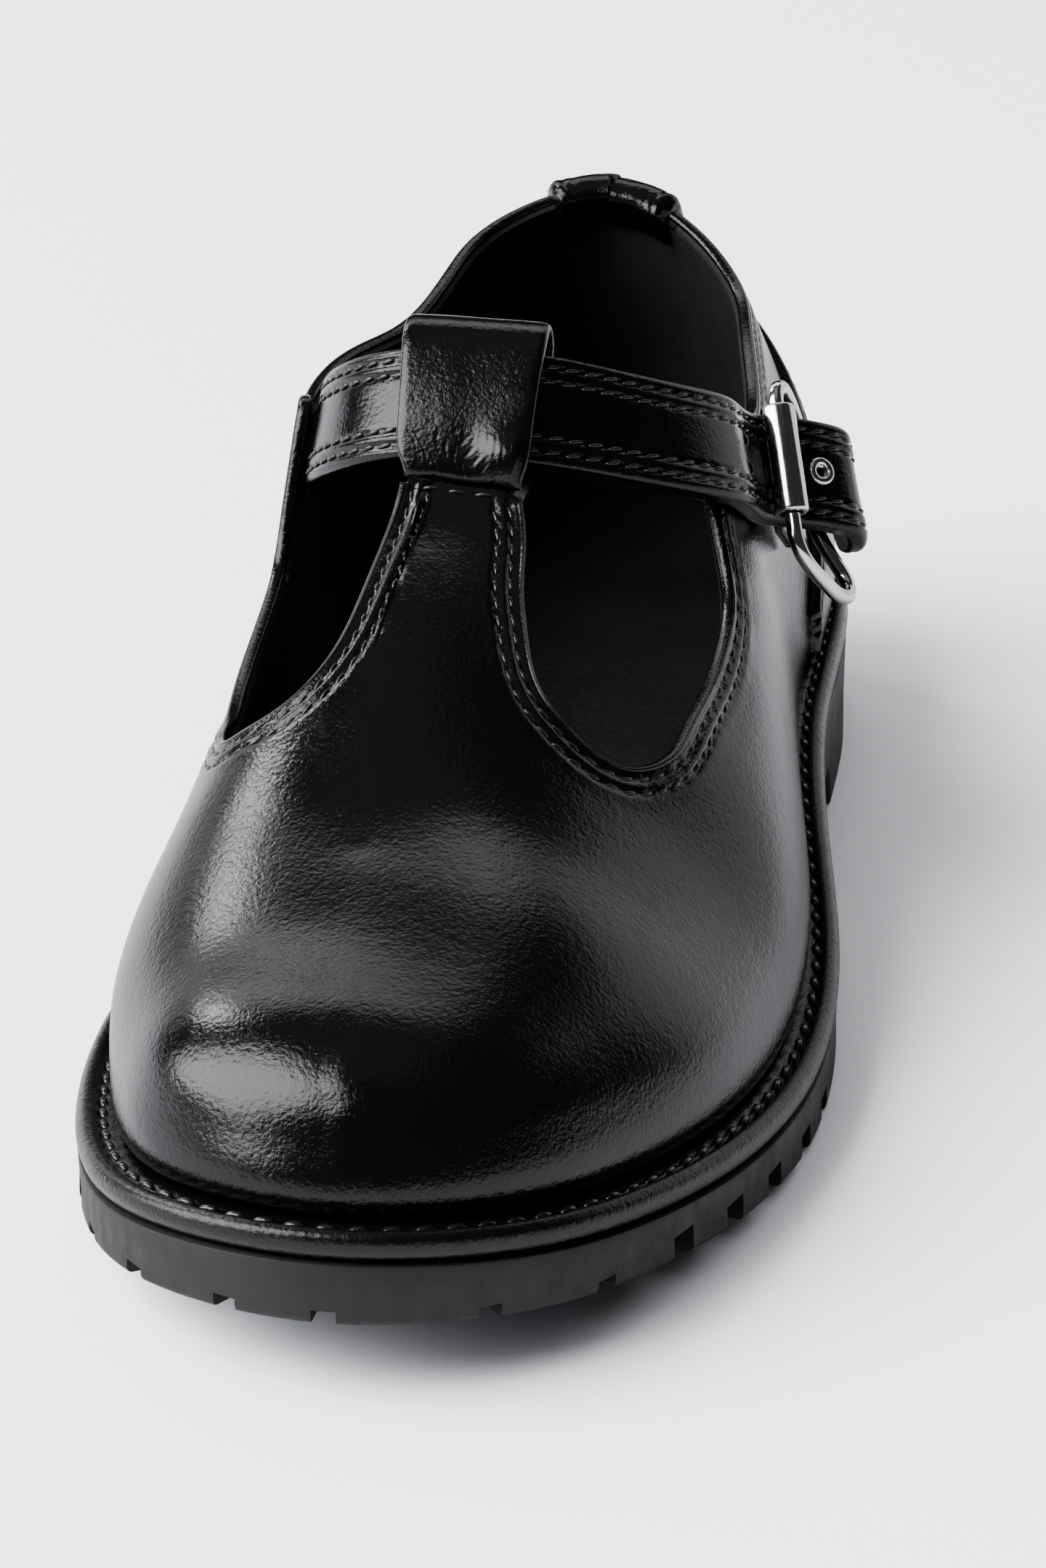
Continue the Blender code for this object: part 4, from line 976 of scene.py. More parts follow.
# Places closer together than this are thinned out
CROWDED = 0.3
LINING_CROWDED = 0.35
LINING_ROWS = (0.55, 0.9, 1.5, 2.6, 4.0)
LINING_SPACING = 2.2
LINING_BOTTOM_SPACING = 2.4
LINING_DEPTH = 1.8
LINING_DEPTH_AT_RIM = 1.25
# Distance from the edge given to places that lie beside no edge
FAR = 50.0
# Rolled rim: distance in from the edge, height
RIM_PROFILE = (
    (0.7, 0.0), (0.45, -0.03), (0.26, -0.12), (0.11, -0.28), (0.02, -0.52), (0.0, -0.8),
    (0.06, -1.05), (0.2, -1.22), (0.5, -1.32), (0.9, -1.34),
)
# Groove under a row of stitches: depth, reach; swells beside an edge: distance in, reach, height
SEAM_GROOVE = (0.27, 0.34)
SEAM_SWELLS = ((0.85, 0.5, 0.16), (2.5, 0.5, 0.18), (4.1, 0.5, 0.08))
SEAM_END = 9.0
PULL_CHANGE = 0.25
# Dip along the seam at the end of the T-bar, and tuck where the leather turns in at its foot
BAR_SEAM_DIP = (0.25, 0.45)
FOOT_TUCK = (0.55, 0.7)
# How deep the thread lies in the leather, and where the seam of the T-bar's end runs
THREAD_SINK = 0.2
BAR_THREAD_SINK = 0.05
BAR_SEAM_IN = 0.65
BAR_SEAM_CLEAR = 1.0


def relief(distance, along, stitch, rows, groove, swells):
    """Height of the leather beside an edge: grooves that the thread draws down, and padded swells."""
    depth, reach = groove
    drawn = depth * (1 - PULL_CHANGE * (1 - np.cos(2 * np.pi * along / stitch[0])))
    height = sum(rise * hump(distance - at, wide) for at, wide, rise in swells)
    return height - drawn * sum(hump(distance - row, reach) for row in rows)


def seam_relief(distance, along):
    """Height of the leather beside the edge of the opening: rolled rim, two grooves and a ridge."""
    return relief(distance, along, EDGE_STITCH, STITCH_ROWS, SEAM_GROOVE, SEAM_SWELLS)


def hexagonal(low, high, spacing):
    """Even triangular grid of flat places."""
    rows = np.arange(low[1], high[1], spacing * math.sqrt(0.75))
    grid = []
    for number, row in enumerate(rows):
        columns = np.arange(low[0] + (number % 2) * spacing / 2, high[0], spacing)
        grid.append(np.stack([columns, np.full(len(columns), row)], 1))
    return np.concatenate(grid)


def spread_out(places, apart):
    """Drop places that crowd earlier ones."""
    taken = {}
    for index, cell in enumerate(np.floor(places / apart).astype(int).tolist()):
        taken.setdefault(tuple(cell), index)
    return np.array(list(taken.values()))


def between(places, bottom, rim):
    """Which flat places lie inside the bottom line and outside the opening."""
    return inside(places, bottom) & ~inside(places, rim)


def trimmed(flat, bottom_count, opening_count):
    """Triangles of the leather between its bottom line and its opening."""
    bottom = [(i, (i + 1) % bottom_count) for i in range(bottom_count)]
    opening = [(bottom_count + i, bottom_count + (i + 1) % opening_count) for i in range(opening_count)]
    result = delaunay_2d_cdt([Vector(p) for p in flat.tolist()], bottom + opening, [], 0, 1e-7, True)
    source = np.array([ids[0] if ids else -1 for ids in result[3]])
    triangles = source[np.array(result[2])]
    triangles = triangles[(triangles >= 0).all(axis=1)]
    rim = flat[bottom_count : bottom_count + opening_count]
    return triangles[between(flat[triangles].mean(axis=1), flat[:bottom_count], rim)]


def climb_above(chart, flat, points):
    """Height of points on the last above its bottom line."""
    return points[:, 2] - feather_height(chart.feather.foot(chart.invert(flat)[:, 0])[:, 0])


def bottom_line(chart, spacing):
    """Flat places along the feather line."""
    count = int(round(chart.feather.along[-1] / spacing))
    walks = chart.feather.along[-1] * np.arange(count) / count
    return walks, chart.flat(np.stack([walks, np.zeros(count)], 1))


def foot_rows(chart, walks, heights):
    """Flat places at small heights above the feather line."""
    rows = []
    for height in heights:
        share = np.full(len(walks), 0.01)
        for _ in range(3):
            climb = chart.feather.point(walks, share)[:, 2] - chart.feather.point(walks, share * 0)[:, 2]
            share = np.clip(share * height / np.maximum(climb, 1e-3), 0.0, 0.2)
        rows.append(chart.flat(np.stack([walks, share], 1)))
    return rows


def build_upper_leather(chart, opening, material):
    """Fine outer skin of the upper with its rolled edges and seam relief."""
    walks, bottom = bottom_line(chart, BOTTOM_SPACING)
    rows = opening.march(EDGE_ROWS)
    across = slice(opening.sizes[0], opening.sizes[0] + opening.sizes[1])
    rim = rows[0].copy()
    rim[across] = opening.flat[across]
    count_bottom, count_rim = len(bottom), len(rim)
    layers = []

    def lay(flat, distance=FAR, along=0.0):
        """Add places with their distance from the edge and along it."""
        layers.append(np.column_stack(np.broadcast_arrays(*flat.T, distance, along)))

    lay(bottom)
    lay(rim, np.where(opening.edged, EDGE_ROWS[0], FAR), opening.along)
    for row, distance in zip(rows[1:], EDGE_ROWS[1:]):
        near, _ = opening.distance(chart.surface(row))
        keep = opening.edged & (near > distance - 0.1)
        lay(row[keep], distance, opening.along[keep])
    for row in foot_rows(chart, walks, FOOT_ROWS):
        lay(row)
    grid = hexagonal(bottom.min(axis=0), bottom.max(axis=0), LEATHER_SPACING)
    grid = grid[between(grid, bottom, rim)]
    points = chart.surface(grid)
    near, index = opening.distance(points)
    keep = (near > EDGE_ROWS[-1] + 0.4) & (climb_above(chart, grid, points) > FOOT_ROWS[-1] + 0.5)
    lay(grid[keep], near[keep], opening.along[index[keep]])
    places = np.concatenate(layers)
    fixed = count_bottom + count_rim
    places = np.concatenate([places[:fixed], places[fixed:][spread_out(places[fixed:, :2], CROWDED)]])
    flat, distance, along = places[:, :2], places[:, 2], places[:, 3]
    points, _, _, normal = chart.frames(flat)
    lift = np.where(distance < SEAM_END, seam_relief(distance, along), 0.0)
    end = points[count_bottom:][across]
    from_end = np.linalg.norm(points[:, None] - end[None, ::2], axis=2).min(axis=1)
    lift -= BAR_SEAM_DIP[0] * hump(from_end, BAR_SEAM_DIP[1])
    lift -= FOOT_TUCK[0] * np.exp(-np.clip(climb_above(chart, flat, points), 0.0, None) / FOOT_TUCK[1])
    outer = points + normal * lift[:, None]
    faces = facing_out(outer, trimmed(flat, count_bottom, count_rim)).tolist()
    skin = [outer]
    edge_relief = seam_relief(EDGE_ROWS[0], opening.along)
    last, this = count_bottom, len(outer)
    for distance_in, offset in RIM_PROFILE[1:]:
        lift = offset + edge_relief * max(0.0, 1 + offset / 0.5)
        skin.append(opening.points + opening.inward * distance_in + opening.normal * lift[:, None])
        for i in range(count_rim):
            j = (i + 1) % count_rim
            if opening.edged[i] or opening.edged[j]:
                faces.append((last + i, last + j, this + j, this + i))
        last, this = this, this + count_rim
    add_piece("upper_skin", np.concatenate(skin), faces, material, "polished_leather", "upper")


def build_upper_lining(chart, opening, material):
    """Lining inside the upper, from just below the rolled rim to the footbed."""
    _, bottom = bottom_line(chart, LINING_BOTTOM_SPACING)
    rows = opening.march(LINING_ROWS)
    flats = [bottom, rows[0]]
    for row, distance in zip(rows[1:], LINING_ROWS[1:]):
        near, _ = opening.distance(chart.surface(row))
        flats.append(row[opening.edged & (near > distance - 0.1)])
    grid = hexagonal(bottom.min(axis=0), bottom.max(axis=0), LINING_SPACING)
    grid = grid[between(grid, bottom, rows[0])]
    near, _ = opening.distance(chart.surface(grid))
    flats.append(grid[near > LINING_ROWS[-1] + 1.0])
    flat = np.concatenate(flats)
    fixed = len(bottom) + len(rows[0])
    flat = np.concatenate([flat[:fixed], flat[fixed:][spread_out(flat[fixed:], LINING_CROWDED)]])
    points, _, _, normal = chart.frames(flat)
    near, _ = opening.distance(points)
    depth = np.where(near < 0.75, LINING_DEPTH_AT_RIM, LINING_DEPTH)
    lining = points - normal * depth[:, None]
    faces = facing_out(lining, trimmed(flat, len(bottom), len(rows[0])))[:, ::-1]
    add_piece("upper_lining", lining, faces, material, "footbed", "upper")


def build_upper_stitching(chart, opening, material):
    """Double rows of stitches along every edge of the upper and across the end of the T-bar."""
    first, second = opening.sizes[0], opening.sizes[0] + opening.sizes[1]
    parts = []
    runs = (np.arange(first), np.append(np.arange(second, len(opening.flat)), 0))
    for distance, row in zip(STITCH_ROWS, opening.march(STITCH_ROWS)):
        points, _, _, normal = chart.frames(row)
        near, _ = opening.distance(points)
        for run in runs:
            run = run[near[run] > distance - 0.15]
            line = points[run] - normal[run] * THREAD_SINK
            parts.append(stitch_line(line, normal[run], EDGE_STITCH))
    end = np.flatnonzero(~opening.edged)
    points, _, _, normal = chart.frames(opening.flat[end] + (BAR_SEAM_IN, 0.0))
    side = points[:, 1]
    inner = (side > side.min() + BAR_SEAM_CLEAR) & (side < side.max() - BAR_SEAM_CLEAR)
    line = points[inner] - normal[inner] * BAR_THREAD_SINK
    parts.append(stitch_line(line, normal[inner], BAR_STITCH))
    add_piece("upper_stitching", *joined(parts), material, "welt_leather", "upper")


# ---------------------------------------------------------------- welt, sole and footbed

# How far the row of welt stitches lies inside the edge of the upper
WELT_ROW = 1.15
WELT_SPACING = 0.6
WELT_STITCH_SPACING = 0.5
WELT_SHARP = 50
BEAD_DEPTH = 1.3
BEAD_HEIGHT = 1.75
# Degrees round the bead, from above the groove to under its edge
BEAD_TURNS = (118, -71, -12)


def outline_at(spacing):
    """Outline points and outward normals an even distance apart, closed, with the distance walked."""
    loop, normal = (np.concatenate([rows, rows[:1]]) for rows in welt_outline())
    along = walked(loop)
    count = int(round(along[-1] / spacing / 2)) * 2
    at = along[-1] * np.arange(count) / count
    return read(at, along, loop), unit(read(at, along, normal)), at


def flat_ring(points, normals, inset, height):
    """Outline moved in by an inset and set at a height."""
    flat = points - normals * np.broadcast_to(inset, len(points))[:, None]
    return np.column_stack([flat, np.broadcast_to(height, len(points))])


def raised_ring(points, normals, inset, above):
    """Outline moved in by an inset and set above the top of the sole."""
    ring = flat_ring(points, normals, inset, above)
    return ring + spline(SOLE_TOP, ring[:, 0])[:, None] * (0.0, 0.0, 1.0)


def build_welt_strip(material):
    """Flat stitched strip, half-round bead and the groove under it."""
    points, normals, along = outline_at(WELT_SPACING)
    reach = spline(WELT_REACH, points[:, 0])
    groove = reach - WELT_ROW
    phase = np.cos(2 * np.pi * along / WELT_STITCH[0])
    rows = [
        (reach + 3.0, 0.3), (reach + 3.0, WELT_FLAT), (reach + 0.6, WELT_FLAT),
        (reach - 0.35, WELT_FLAT + 0.05), (groove + 0.45, WELT_FLAT - 0.12 - 0.1 * phase),
        (groove, WELT_FLAT - 0.28 - 0.12 * phase), (2.62, WELT_FLAT - 0.15), (2.45, WELT_FLAT - 0.32),
    ]
    for degrees in range(*BEAD_TURNS):
        turn = math.radians(degrees)
        inset = BEAD_DEPTH * (1 - math.cos(turn)) * (1.0 if degrees < 90 else 0.9)
        rows.append((inset, BEAD_HEIGHT + BEAD_RADIUS * math.sin(turn)))
    rows += [(1.15, 0.2), (2.2, 0.12)]
    rings = np.array([raised_ring(points, normals, *row) for row in rows])
    faces = grid_faces(*rings.shape[:2], closed_rows=True, closed_columns=True)
    add_piece("welt_strip", rings, faces, material, "welt_leather", "welt", WELT_SHARP)


def build_welt_stitching(material):
    """Row of heavy stitches along the welt's flat strip."""
    points, normals, _ = outline_at(WELT_STITCH_SPACING)
    line = raised_ring(points, normals, spline(WELT_REACH, points[:, 0]) - WELT_ROW, WELT_FLAT - 0.3)
    line = np.concatenate([line, line[:1]])
    up = np.tile((0.0, 0.0, 1.0), (len(line), 1))
    add_piece("welt_stitching", *stitch_line(line, up, WELT_STITCH), material, "welt_leather", "welt")


SOLE_ROWS = 180
# Rows closer to the edges of the heel breast than this are left out
BREAST_CLEAR = 0.4


def sole_points():
    """Outline points that match across the sole, closer at its two ends."""
    loop, normal = welt_outline()
    toe = int(np.argmax(loop[:, 0]))
    even = LENGTH / 2 * (1 - np.cos(np.linspace(0.0, np.pi, SOLE_ROWS + 1)))
    clear = [row for row in even if min(abs(row - edge) for edge in HEEL_BREAST) > BREAST_CLEAR]
    rows = np.array(sorted([*clear, *HEEL_BREAST]))
    outer = np.interp(rows, loop[: toe + 1, 0], np.arange(toe + 1))
    back = np.arange(len(loop) - 1, toe - 1, -1)
    inner = np.interp(rows[1:-1], loop[back, 0], back)[::-1]
    at = np.concatenate([outer, inner])
    index = np.arange(len(loop))
    return read(at, index, loop), unit(read(at, index, normal))


def add_pad(name, rings, *rest):
    """Closed piece from rings between the two outlines, capped straight across below and above."""
    rings = np.array(rings)
    count, around = rings.shape[:2]
    faces = grid_faces(count, around, closed_columns=True)
    for first in (0, (count - 1) * around):
        faces += [tuple(first + i for i in face) for face in strip_cap(around)]
    piece = add_piece(name, rings, faces, *rest)
    fix_normals(piece)
    return piece


# Rounded edges of the sole: inset, height above its top or its bottom
SOLE_EDGE_TOP = ((1.2, -0.12), (0.5, -0.15), (0.27, -0.25), (0.15, -0.55))
SOLE_EDGE_BOTTOM = ((0.15, 0.9), (0.25, 0.45), (0.5, 0.14), (0.9, 0.0))
SOLE_SHARP = 38
# How far the cutters of the slots reach out of the sole and below it
SLOT_CLEAR_OUT = 4.0
SLOT_CLEAR_BELOW = 3.0


def build_sole_body(material):
    """Rubber sole with rounded edges, slotted tread edge, heel, arch and toe spring."""
    points, normals = sole_points()
    bottom = tread_height(points[:, 0])
    top = spline(SOLE_TOP, points[:, 0])
    rings = [raised_ring(points, normals, *row) for row in SOLE_EDGE_TOP]
    rings.append(flat_ring(points, normals, 0.25, (top + bottom) / 2))
    rings += [flat_ring(points, normals, inset, bottom + above) for inset, above in SOLE_EDGE_BOTTOM]
    sole = add_pad("sole_body", rings, material, "sole_rubber", "outsole")
    for notch in NOTCHES:
        for from_heel in notch[-1]:
            boolean = sole.modifiers.new("tread_slot", "BOOLEAN")
            boolean.operation = "DIFFERENCE"
            boolean.solver = "EXACT"
            boolean.object = slot_cutter(from_heel, *notch[:-1])
    apply_modifiers(sole)
    sole.data.set_sharp_from_angle(angle=math.radians(SOLE_SHARP))


def apply_modifiers(piece):
    """Keep the evaluated mesh and remove the modifiers and their cutters."""
    graph = bpy.context.evaluated_depsgraph_get()
    mesh = bpy.data.meshes.new_from_object(piece.evaluated_get(graph))
    cutters = [modifier.object for modifier in piece.modifiers if modifier.type == "BOOLEAN"]
    piece.modifiers.clear()
    piece.data = mesh
    for cutter in cutters:
        bpy.data.objects.remove(cutter, do_unlink=True)


def slot_cutter(from_heel, sign, width, height, depth):
    """Box that cuts one slot in the tread."""
    loop, normal = welt_outline()
    toe = int(np.argmax(loop[:, 0]))
    half = np.arange(0, toe + 1) if sign > 0 else np.arange(len(loop) - 1, toe - 1, -1)
    place = half[int(np.argmin(abs(loop[half, 0] - from_heel)))]
    inward = -normal[place]
    beside = np.array([-inward[1], inward[0]])
    base = float(tread_height(from_heel))
    corners = []
    for level in (base - SLOT_CLEAR_BELOW, base + height):
        for along, side in ((-SLOT_CLEAR_OUT, -1), (depth, -1), (depth, 1), (-SLOT_CLEAR_OUT, 1)):
            flat = loop[place] + inward * along + beside * side * width / 2
            corners.append((flat[0], flat[1], level))
    faces = [(0, 1, 2, 3), (4, 5, 6, 7), (0, 1, 5, 4), (1, 2, 6, 5), (2, 3, 7, 6), (3, 0, 4, 7)]
    mesh = bpy.data.meshes.new("tread_slot")
    mesh.from_pydata(world(corners).tolist(), [], faces)
    cutter = bpy.data.objects.new("tread_slot", mesh)
    bpy.context.collection.objects.link(cutter)
    fix_normals(cutter)
    return cutter


# Footbed from its underside up to its middle: inset from the upper's foot, height above the sole
FOOTBED_ROWS = (
    (3.6, 0.3), (3.6, 3.2), (2.3, 3.4), (2.3, 4.5), (2.5, 4.85),
    (3.0, 5.08), (4.5, 5.15), (7.0, 5.08), (10.0, 4.98), (13.0, 4.92),
)


def build_footbed(material):
    """Padded footbed, softly dished, that fills the bottom of the shoe."""
    points, normals = sole_points()
    reach = spline(WELT_REACH, points[:, 0])
    rings = [raised_ring(points, normals, reach + inset, above) for inset, above in FOOTBED_ROWS]
    add_pad("footbed_pad", rings, material, "footbed", "insole")


# ---------------------------------------------------------------- heel counter and binding

COUNTER_COLUMNS = 181
COUNTER_ROWS = 45
# The rows crowd towards the top edge by this power
COUNTER_CROWDING = 1.6
COUNTER_EDGE_LIFT = 0.12
COUNTER_ROUND = 0.9
COUNTER_THREAD_SINK = 0.18
COUNTER_GROOVE = (0.22, 0.35)
COUNTER_SWELLS = ((2.5, 0.6, 0.12),)


def build_counter_skin(feather, material, thread):
    """Stiff heel piece laid over the quarters, with rounded edges and two rows of stitches."""
    whole = feather.along[-1]
    front_outer = feather.walk(COUNTER_FRONT, True)
    front_inner = feather.walk(COUNTER_FRONT, False)
    walks = np.linspace(front_inner - whole, front_outer, COUNTER_COLUMNS)
    edge = spline(COUNTER_EDGE, feather.foot(walks)[:, 0] - feather.line[:, 0].min())
    high = feather.point(walks, edge)
    rise = np.linalg.norm(high - feather.point(walks, np.full(len(walks), COUNTER_FOOT)), axis=1)
    along = walked(high)
    from_front = np.minimum(along, along[-1] - along)
    rows = []
    for step in np.linspace(0.0, 1.0, COUNTER_ROWS):
        share = COUNTER_FOOT + (edge - COUNTER_FOOT) * (1 - (1 - step) ** COUNTER_CROWDING)
        points = feather.point(walks, share)
        normal = feather.normal(walks, share)
        from_top = np.linalg.norm(points - high, axis=1)
        rounded = quarter_round(np.minimum(from_top, from_front) / COUNTER_ROUND)
        lift = COUNTER_EDGE_LIFT + (GAP + COUNTER_THICKNESS - COUNTER_EDGE_LIFT) * rounded
        lift += relief(from_top, along, EDGE_STITCH, STITCH_ROWS, COUNTER_GROOVE, COUNTER_SWELLS)
        rows.append(points + normal * lift[:, None])
    rows = np.array(rows)
    faces = grid_faces(*rows.shape[:2])
    add_piece("counter_skin", rows, faces, material, "polished_leather", "heel_counter")
    parts = []
    for row in STITCH_ROWS:
        share = edge - (edge - COUNTER_FOOT) * np.clip(row / np.maximum(rise, 1e-3), 0.0, 1.0)
        tall = rise > row + 1.5
        points = feather.point(walks, share)[tall]
        normal = feather.normal(walks, share)[tall]
        line = points + normal * (GAP + COUNTER_THICKNESS - COUNTER_THREAD_SINK)
        parts.append(stitch_line(line, normal, EDGE_STITCH))
    add_piece("counter_stitching", *joined(parts), thread, "welt_leather", "heel_counter")


BINDING_COLUMNS = 61
BINDING_ROWS = 41
# Gaps between the folded patch and the leather outside and the lining inside
BINDING_GAP_OUT = 0.45
BINDING_GAP_IN = 0.3
BINDING_EDGE_LIFT = 0.15
# How far the middle of the fold lies in from the outside of the collar
BINDING_MIDDLE = 0.9


def build_binding_skin(feather, material):
    """Small wrinkled patch folded over the back of the collar."""
    whole = feather.along[-1]
    inner_end, outer_end = feather.walk(BINDING_END, False) - whole, feather.walk(BINDING_END, True)
    walks = np.linspace(inner_end, outer_end, BINDING_COLUMNS)
    opening = np.concatenate(opening_edge(feather))
    order = np.concatenate([opening - (whole, 0.0), opening])
    order = order[np.argsort(order[:, 0], kind="stable")]
    heel_part = order[abs(order[:, 0]) < feather.walk(40.0, True)]
    rim = np.interp(walks, heel_part[:, 0], heel_part[:, 1])
    point = feather.point(walks, rim)
    out = feather.normal(walks, rim)
    up = unit(feather.upward(walks, rim))
    top = BINDING_GAP_OUT + BINDING_THICKNESS
    far = WALL + BINDING_GAP_IN + BINDING_THICKNESS
    side = (walks - walks[0]) / (walks[-1] - walks[0]) * 2 - 1
    soft = quarter_round((1 - abs(side)) / 0.1)
    ends = hump(1 - abs(side), 0.3)
    rings = []
    for turn in np.linspace(-0.5, 1.5, BINDING_ROWS):
        wrinkle = 0.05 * np.sin(side * 9 + 2 * np.sin(turn * 3)) * np.sin(turn * 4 + side * 5)
        wrinkle += 0.13 * ends * np.sin(side * 37 + 2.5 * np.sin(turn * 4)) + 0.10 * ends
        if 0.0 <= turn <= 1.0:
            height = math.sin(np.pi * turn) * top * soft + wrinkle
            offset = (top + far) / 2 * math.cos(np.pi * turn) + (top - far) / 2
            offset = (offset + BINDING_MIDDLE) * soft - BINDING_MIDDLE
            rings.append(point + up * height[:, None] + out * offset[:, None])
            continue
        down = max(-turn, turn - 1) * 2
        fade = soft * math.sqrt(max(0.0, 1 - down**4))
        outside = (BINDING_DROP_OUT, 1, BINDING_EDGE_LIFT, top)
        drop, sign, flat, raised = outside if turn < 0.0 else (BINDING_DROP_IN, -1, WALL, far)
        share = rim - drop * down
        lift = sign * (flat + (raised - flat) * fade + wrinkle * 0.6)
        rings.append(feather.point(walks, share) + feather.normal(walks, share) * lift[:, None])
    rings = np.array(rings)
    faces = grid_faces(*rings.shape[:2])
    add_piece("binding_skin", rings, faces, material, "polished_leather", "heel_binding")


# ---------------------------------------------------------------- loop and strap

BAR_END_POINTS = 30


def bar_end_curve(feather):
    """Crosswise curve of the T-bar at its end."""
    outer_top, inner_top = np.array(OUTER_EDGE[-1]), np.array(INNER_EDGE[0])
    outer_walk = feather.walk(outer_top[0], True)
    inner_walk = feather.walk(inner_top[0], False)
    rise = np.linspace(outer_top[1], 1.0, BAR_END_POINTS)
    fall = np.linspace(1.0, inner_top[1], BAR_END_POINTS)[1:]
    walks = np.repeat([outer_walk, inner_walk], [len(rise), len(fall)])
    bar_end = feather.point(walks, np.concatenate([rise, fall]))
    return bar_lift(bar_end[np.argsort(bar_end[:, 1])])


def loop_wrinkles(side, walked_by):
    """Height of the fine creases and soft swelling of the loop above its seam."""
    fan = side * (1.0 - 0.035 * walked_by) + 0.5 * np.sin(walked_by * 0.8 + side * 0.7)
    creases = np.sin(fan * 8.2 + 1.5 * np.sin(walked_by * 1.3 + side * 1.1))
    creases += 0.6 * np.sin(fan * 13.7 - walked_by * 1.9)
    creases *= 0.6 + 0.4 * np.sin(side * 2.3 + walked_by * 1.7)
    swelling = 0.75 * eased(part_way(side, 0.2, 4.8)) * hump(walked_by - 3.0, 2.4)
    swelling *= np.sqrt(part_way(side, 6.6, 5.4))
    return 0.022 * creases * hump(max(walked_by - 2.6, 0.0), 2.6) + swelling


LOOP_RINGS = 340
LOOP_ROUND = 0.35
# The loop thins towards its sides over this width, by this share of its thickness
LOOP_THINS = 0.8
LOOP_THINNING = 0.18
# Beside its seam the loop is as wide as the T-bar's end less two rims, and is drawn down into the seam
LOOP_RIMS = 0.9
LOOP_TAPER = 2.2
LOOP_SEAM_DIP = 0.5
LOOP_SEAM_REACH = 0.5


def loop_section():
    """Rounded cross-section of the loop, in halves of its width and thickness."""
    turns = np.linspace(0.25, np.pi - 0.25, 7)
    section = [(x, 1.0) for x in np.linspace(-1.0, 1.0, 85)]
    section += [(1.0, math.cos(a)) for a in turns]
    section += [(x, -1.0) for x in np.linspace(1.0, -1.0, 29)]
    section += [(-1.0, -math.cos(a)) for a in turns]
    return np.array(section).T


def build_loop_skin(feather, material):
    """Loop from the T-bar's end over the strap and back under, with rounded edges and soft wrinkles."""
    bar_end = bar_end_curve(feather)
    line = open_curve(LOOP_LINE, LOOP_RINGS)
    middle = read(LOOP_SIDE, bar_end[:, 1], bar_end)
    bar_wide = bar_end[-1, 1] - bar_end[0, 1]
    shift = (bar_end[-1, 1] + bar_end[0, 1]) / 2 - LOOP_SIDE
    run = unit(np.gradient(line[:, :2], axis=0))
    out = np.stack([run[:, 1], -run[:, 0]], 1)
    share, level = loop_section()
    bulge = np.sqrt(np.clip(1 - level**2, 0.0, 1.0)) * LOOP_ROUND
    rings = []
    for row, (out_heel, out_up), walked_by in zip(line, out, walked(line[:, :2])):
        taper = hump(walked_by, LOOP_TAPER)
        half = (row[2] + (bar_wide - LOOP_RIMS - row[2]) * taper) / 2
        inset = np.clip((1 - abs(share)) * half / LOOP_THINS, 0.0, 1.0)
        across = share * (half - LOOP_ROUND) + np.sign(share) * bulge
        side = LOOP_SIDE + shift * taper + across
        at = LOOP_SIDE + (side - LOOP_SIDE) * bar_wide / row[2]
        curve = (read(at, bar_end[:, 1], bar_end) - middle) * row[3]
        thick = level * LOOP_THICKNESS / 2 * (1 - LOOP_THINNING * (1 - quarter_round(inset)))
        dip = LOOP_SEAM_DIP * math.exp(-walked_by / LOOP_SEAM_REACH)
        wrinkled = loop_wrinkles(across, walked_by) * inset - dip
        thick += np.where(level > 0.5, wrinkled, 0.0)
        from_heel = row[0] + curve[:, 0] + out_heel * thick
        rings.append(np.stack([from_heel, side, row[1] + curve[:, 2] + out_up * thick], 1))
    add_swept("loop_skin", rings, material, "polished_leather", "t_bar_loop")


STRAP_ROWS = (1.5, 3.15)
STRAP_GROOVE = (0.2, 0.32)
STRAP_SWELLS = ((0.8, 0.4, 0.10), (2.325, 0.5, 0.16))
STRAP_RINGS = 340
STRAP_ROUND = 0.45
STRAP_TIP_SHARE = 0.45
# Rounding of the strap's corners, and the line between its two layers: depth, reach
STRAP_CORNER = (0.12, 0.6)
STRAP_LAYER_NOTCH = (0.12, 0.18)
STRAP_THREAD_SINK = 0.08
# Cross seam: how far ahead of the roller it lies and how far it stays from the edges
STRAP_SEAM_AHEAD = 6.0
STRAP_SEAM_CLEAR = 3.0
# The rows of stitches end where the tip narrows below this share of the width
STRAP_STITCHED = 0.86


def strap_width(along):
    """Width of the strap as a share, narrowing round its tip."""
    rounded = quarter_round((along[-1] - along) / STRAP_TIP_ROUND)
    return STRAP_TIP_SHARE + (1 - STRAP_TIP_SHARE) * rounded


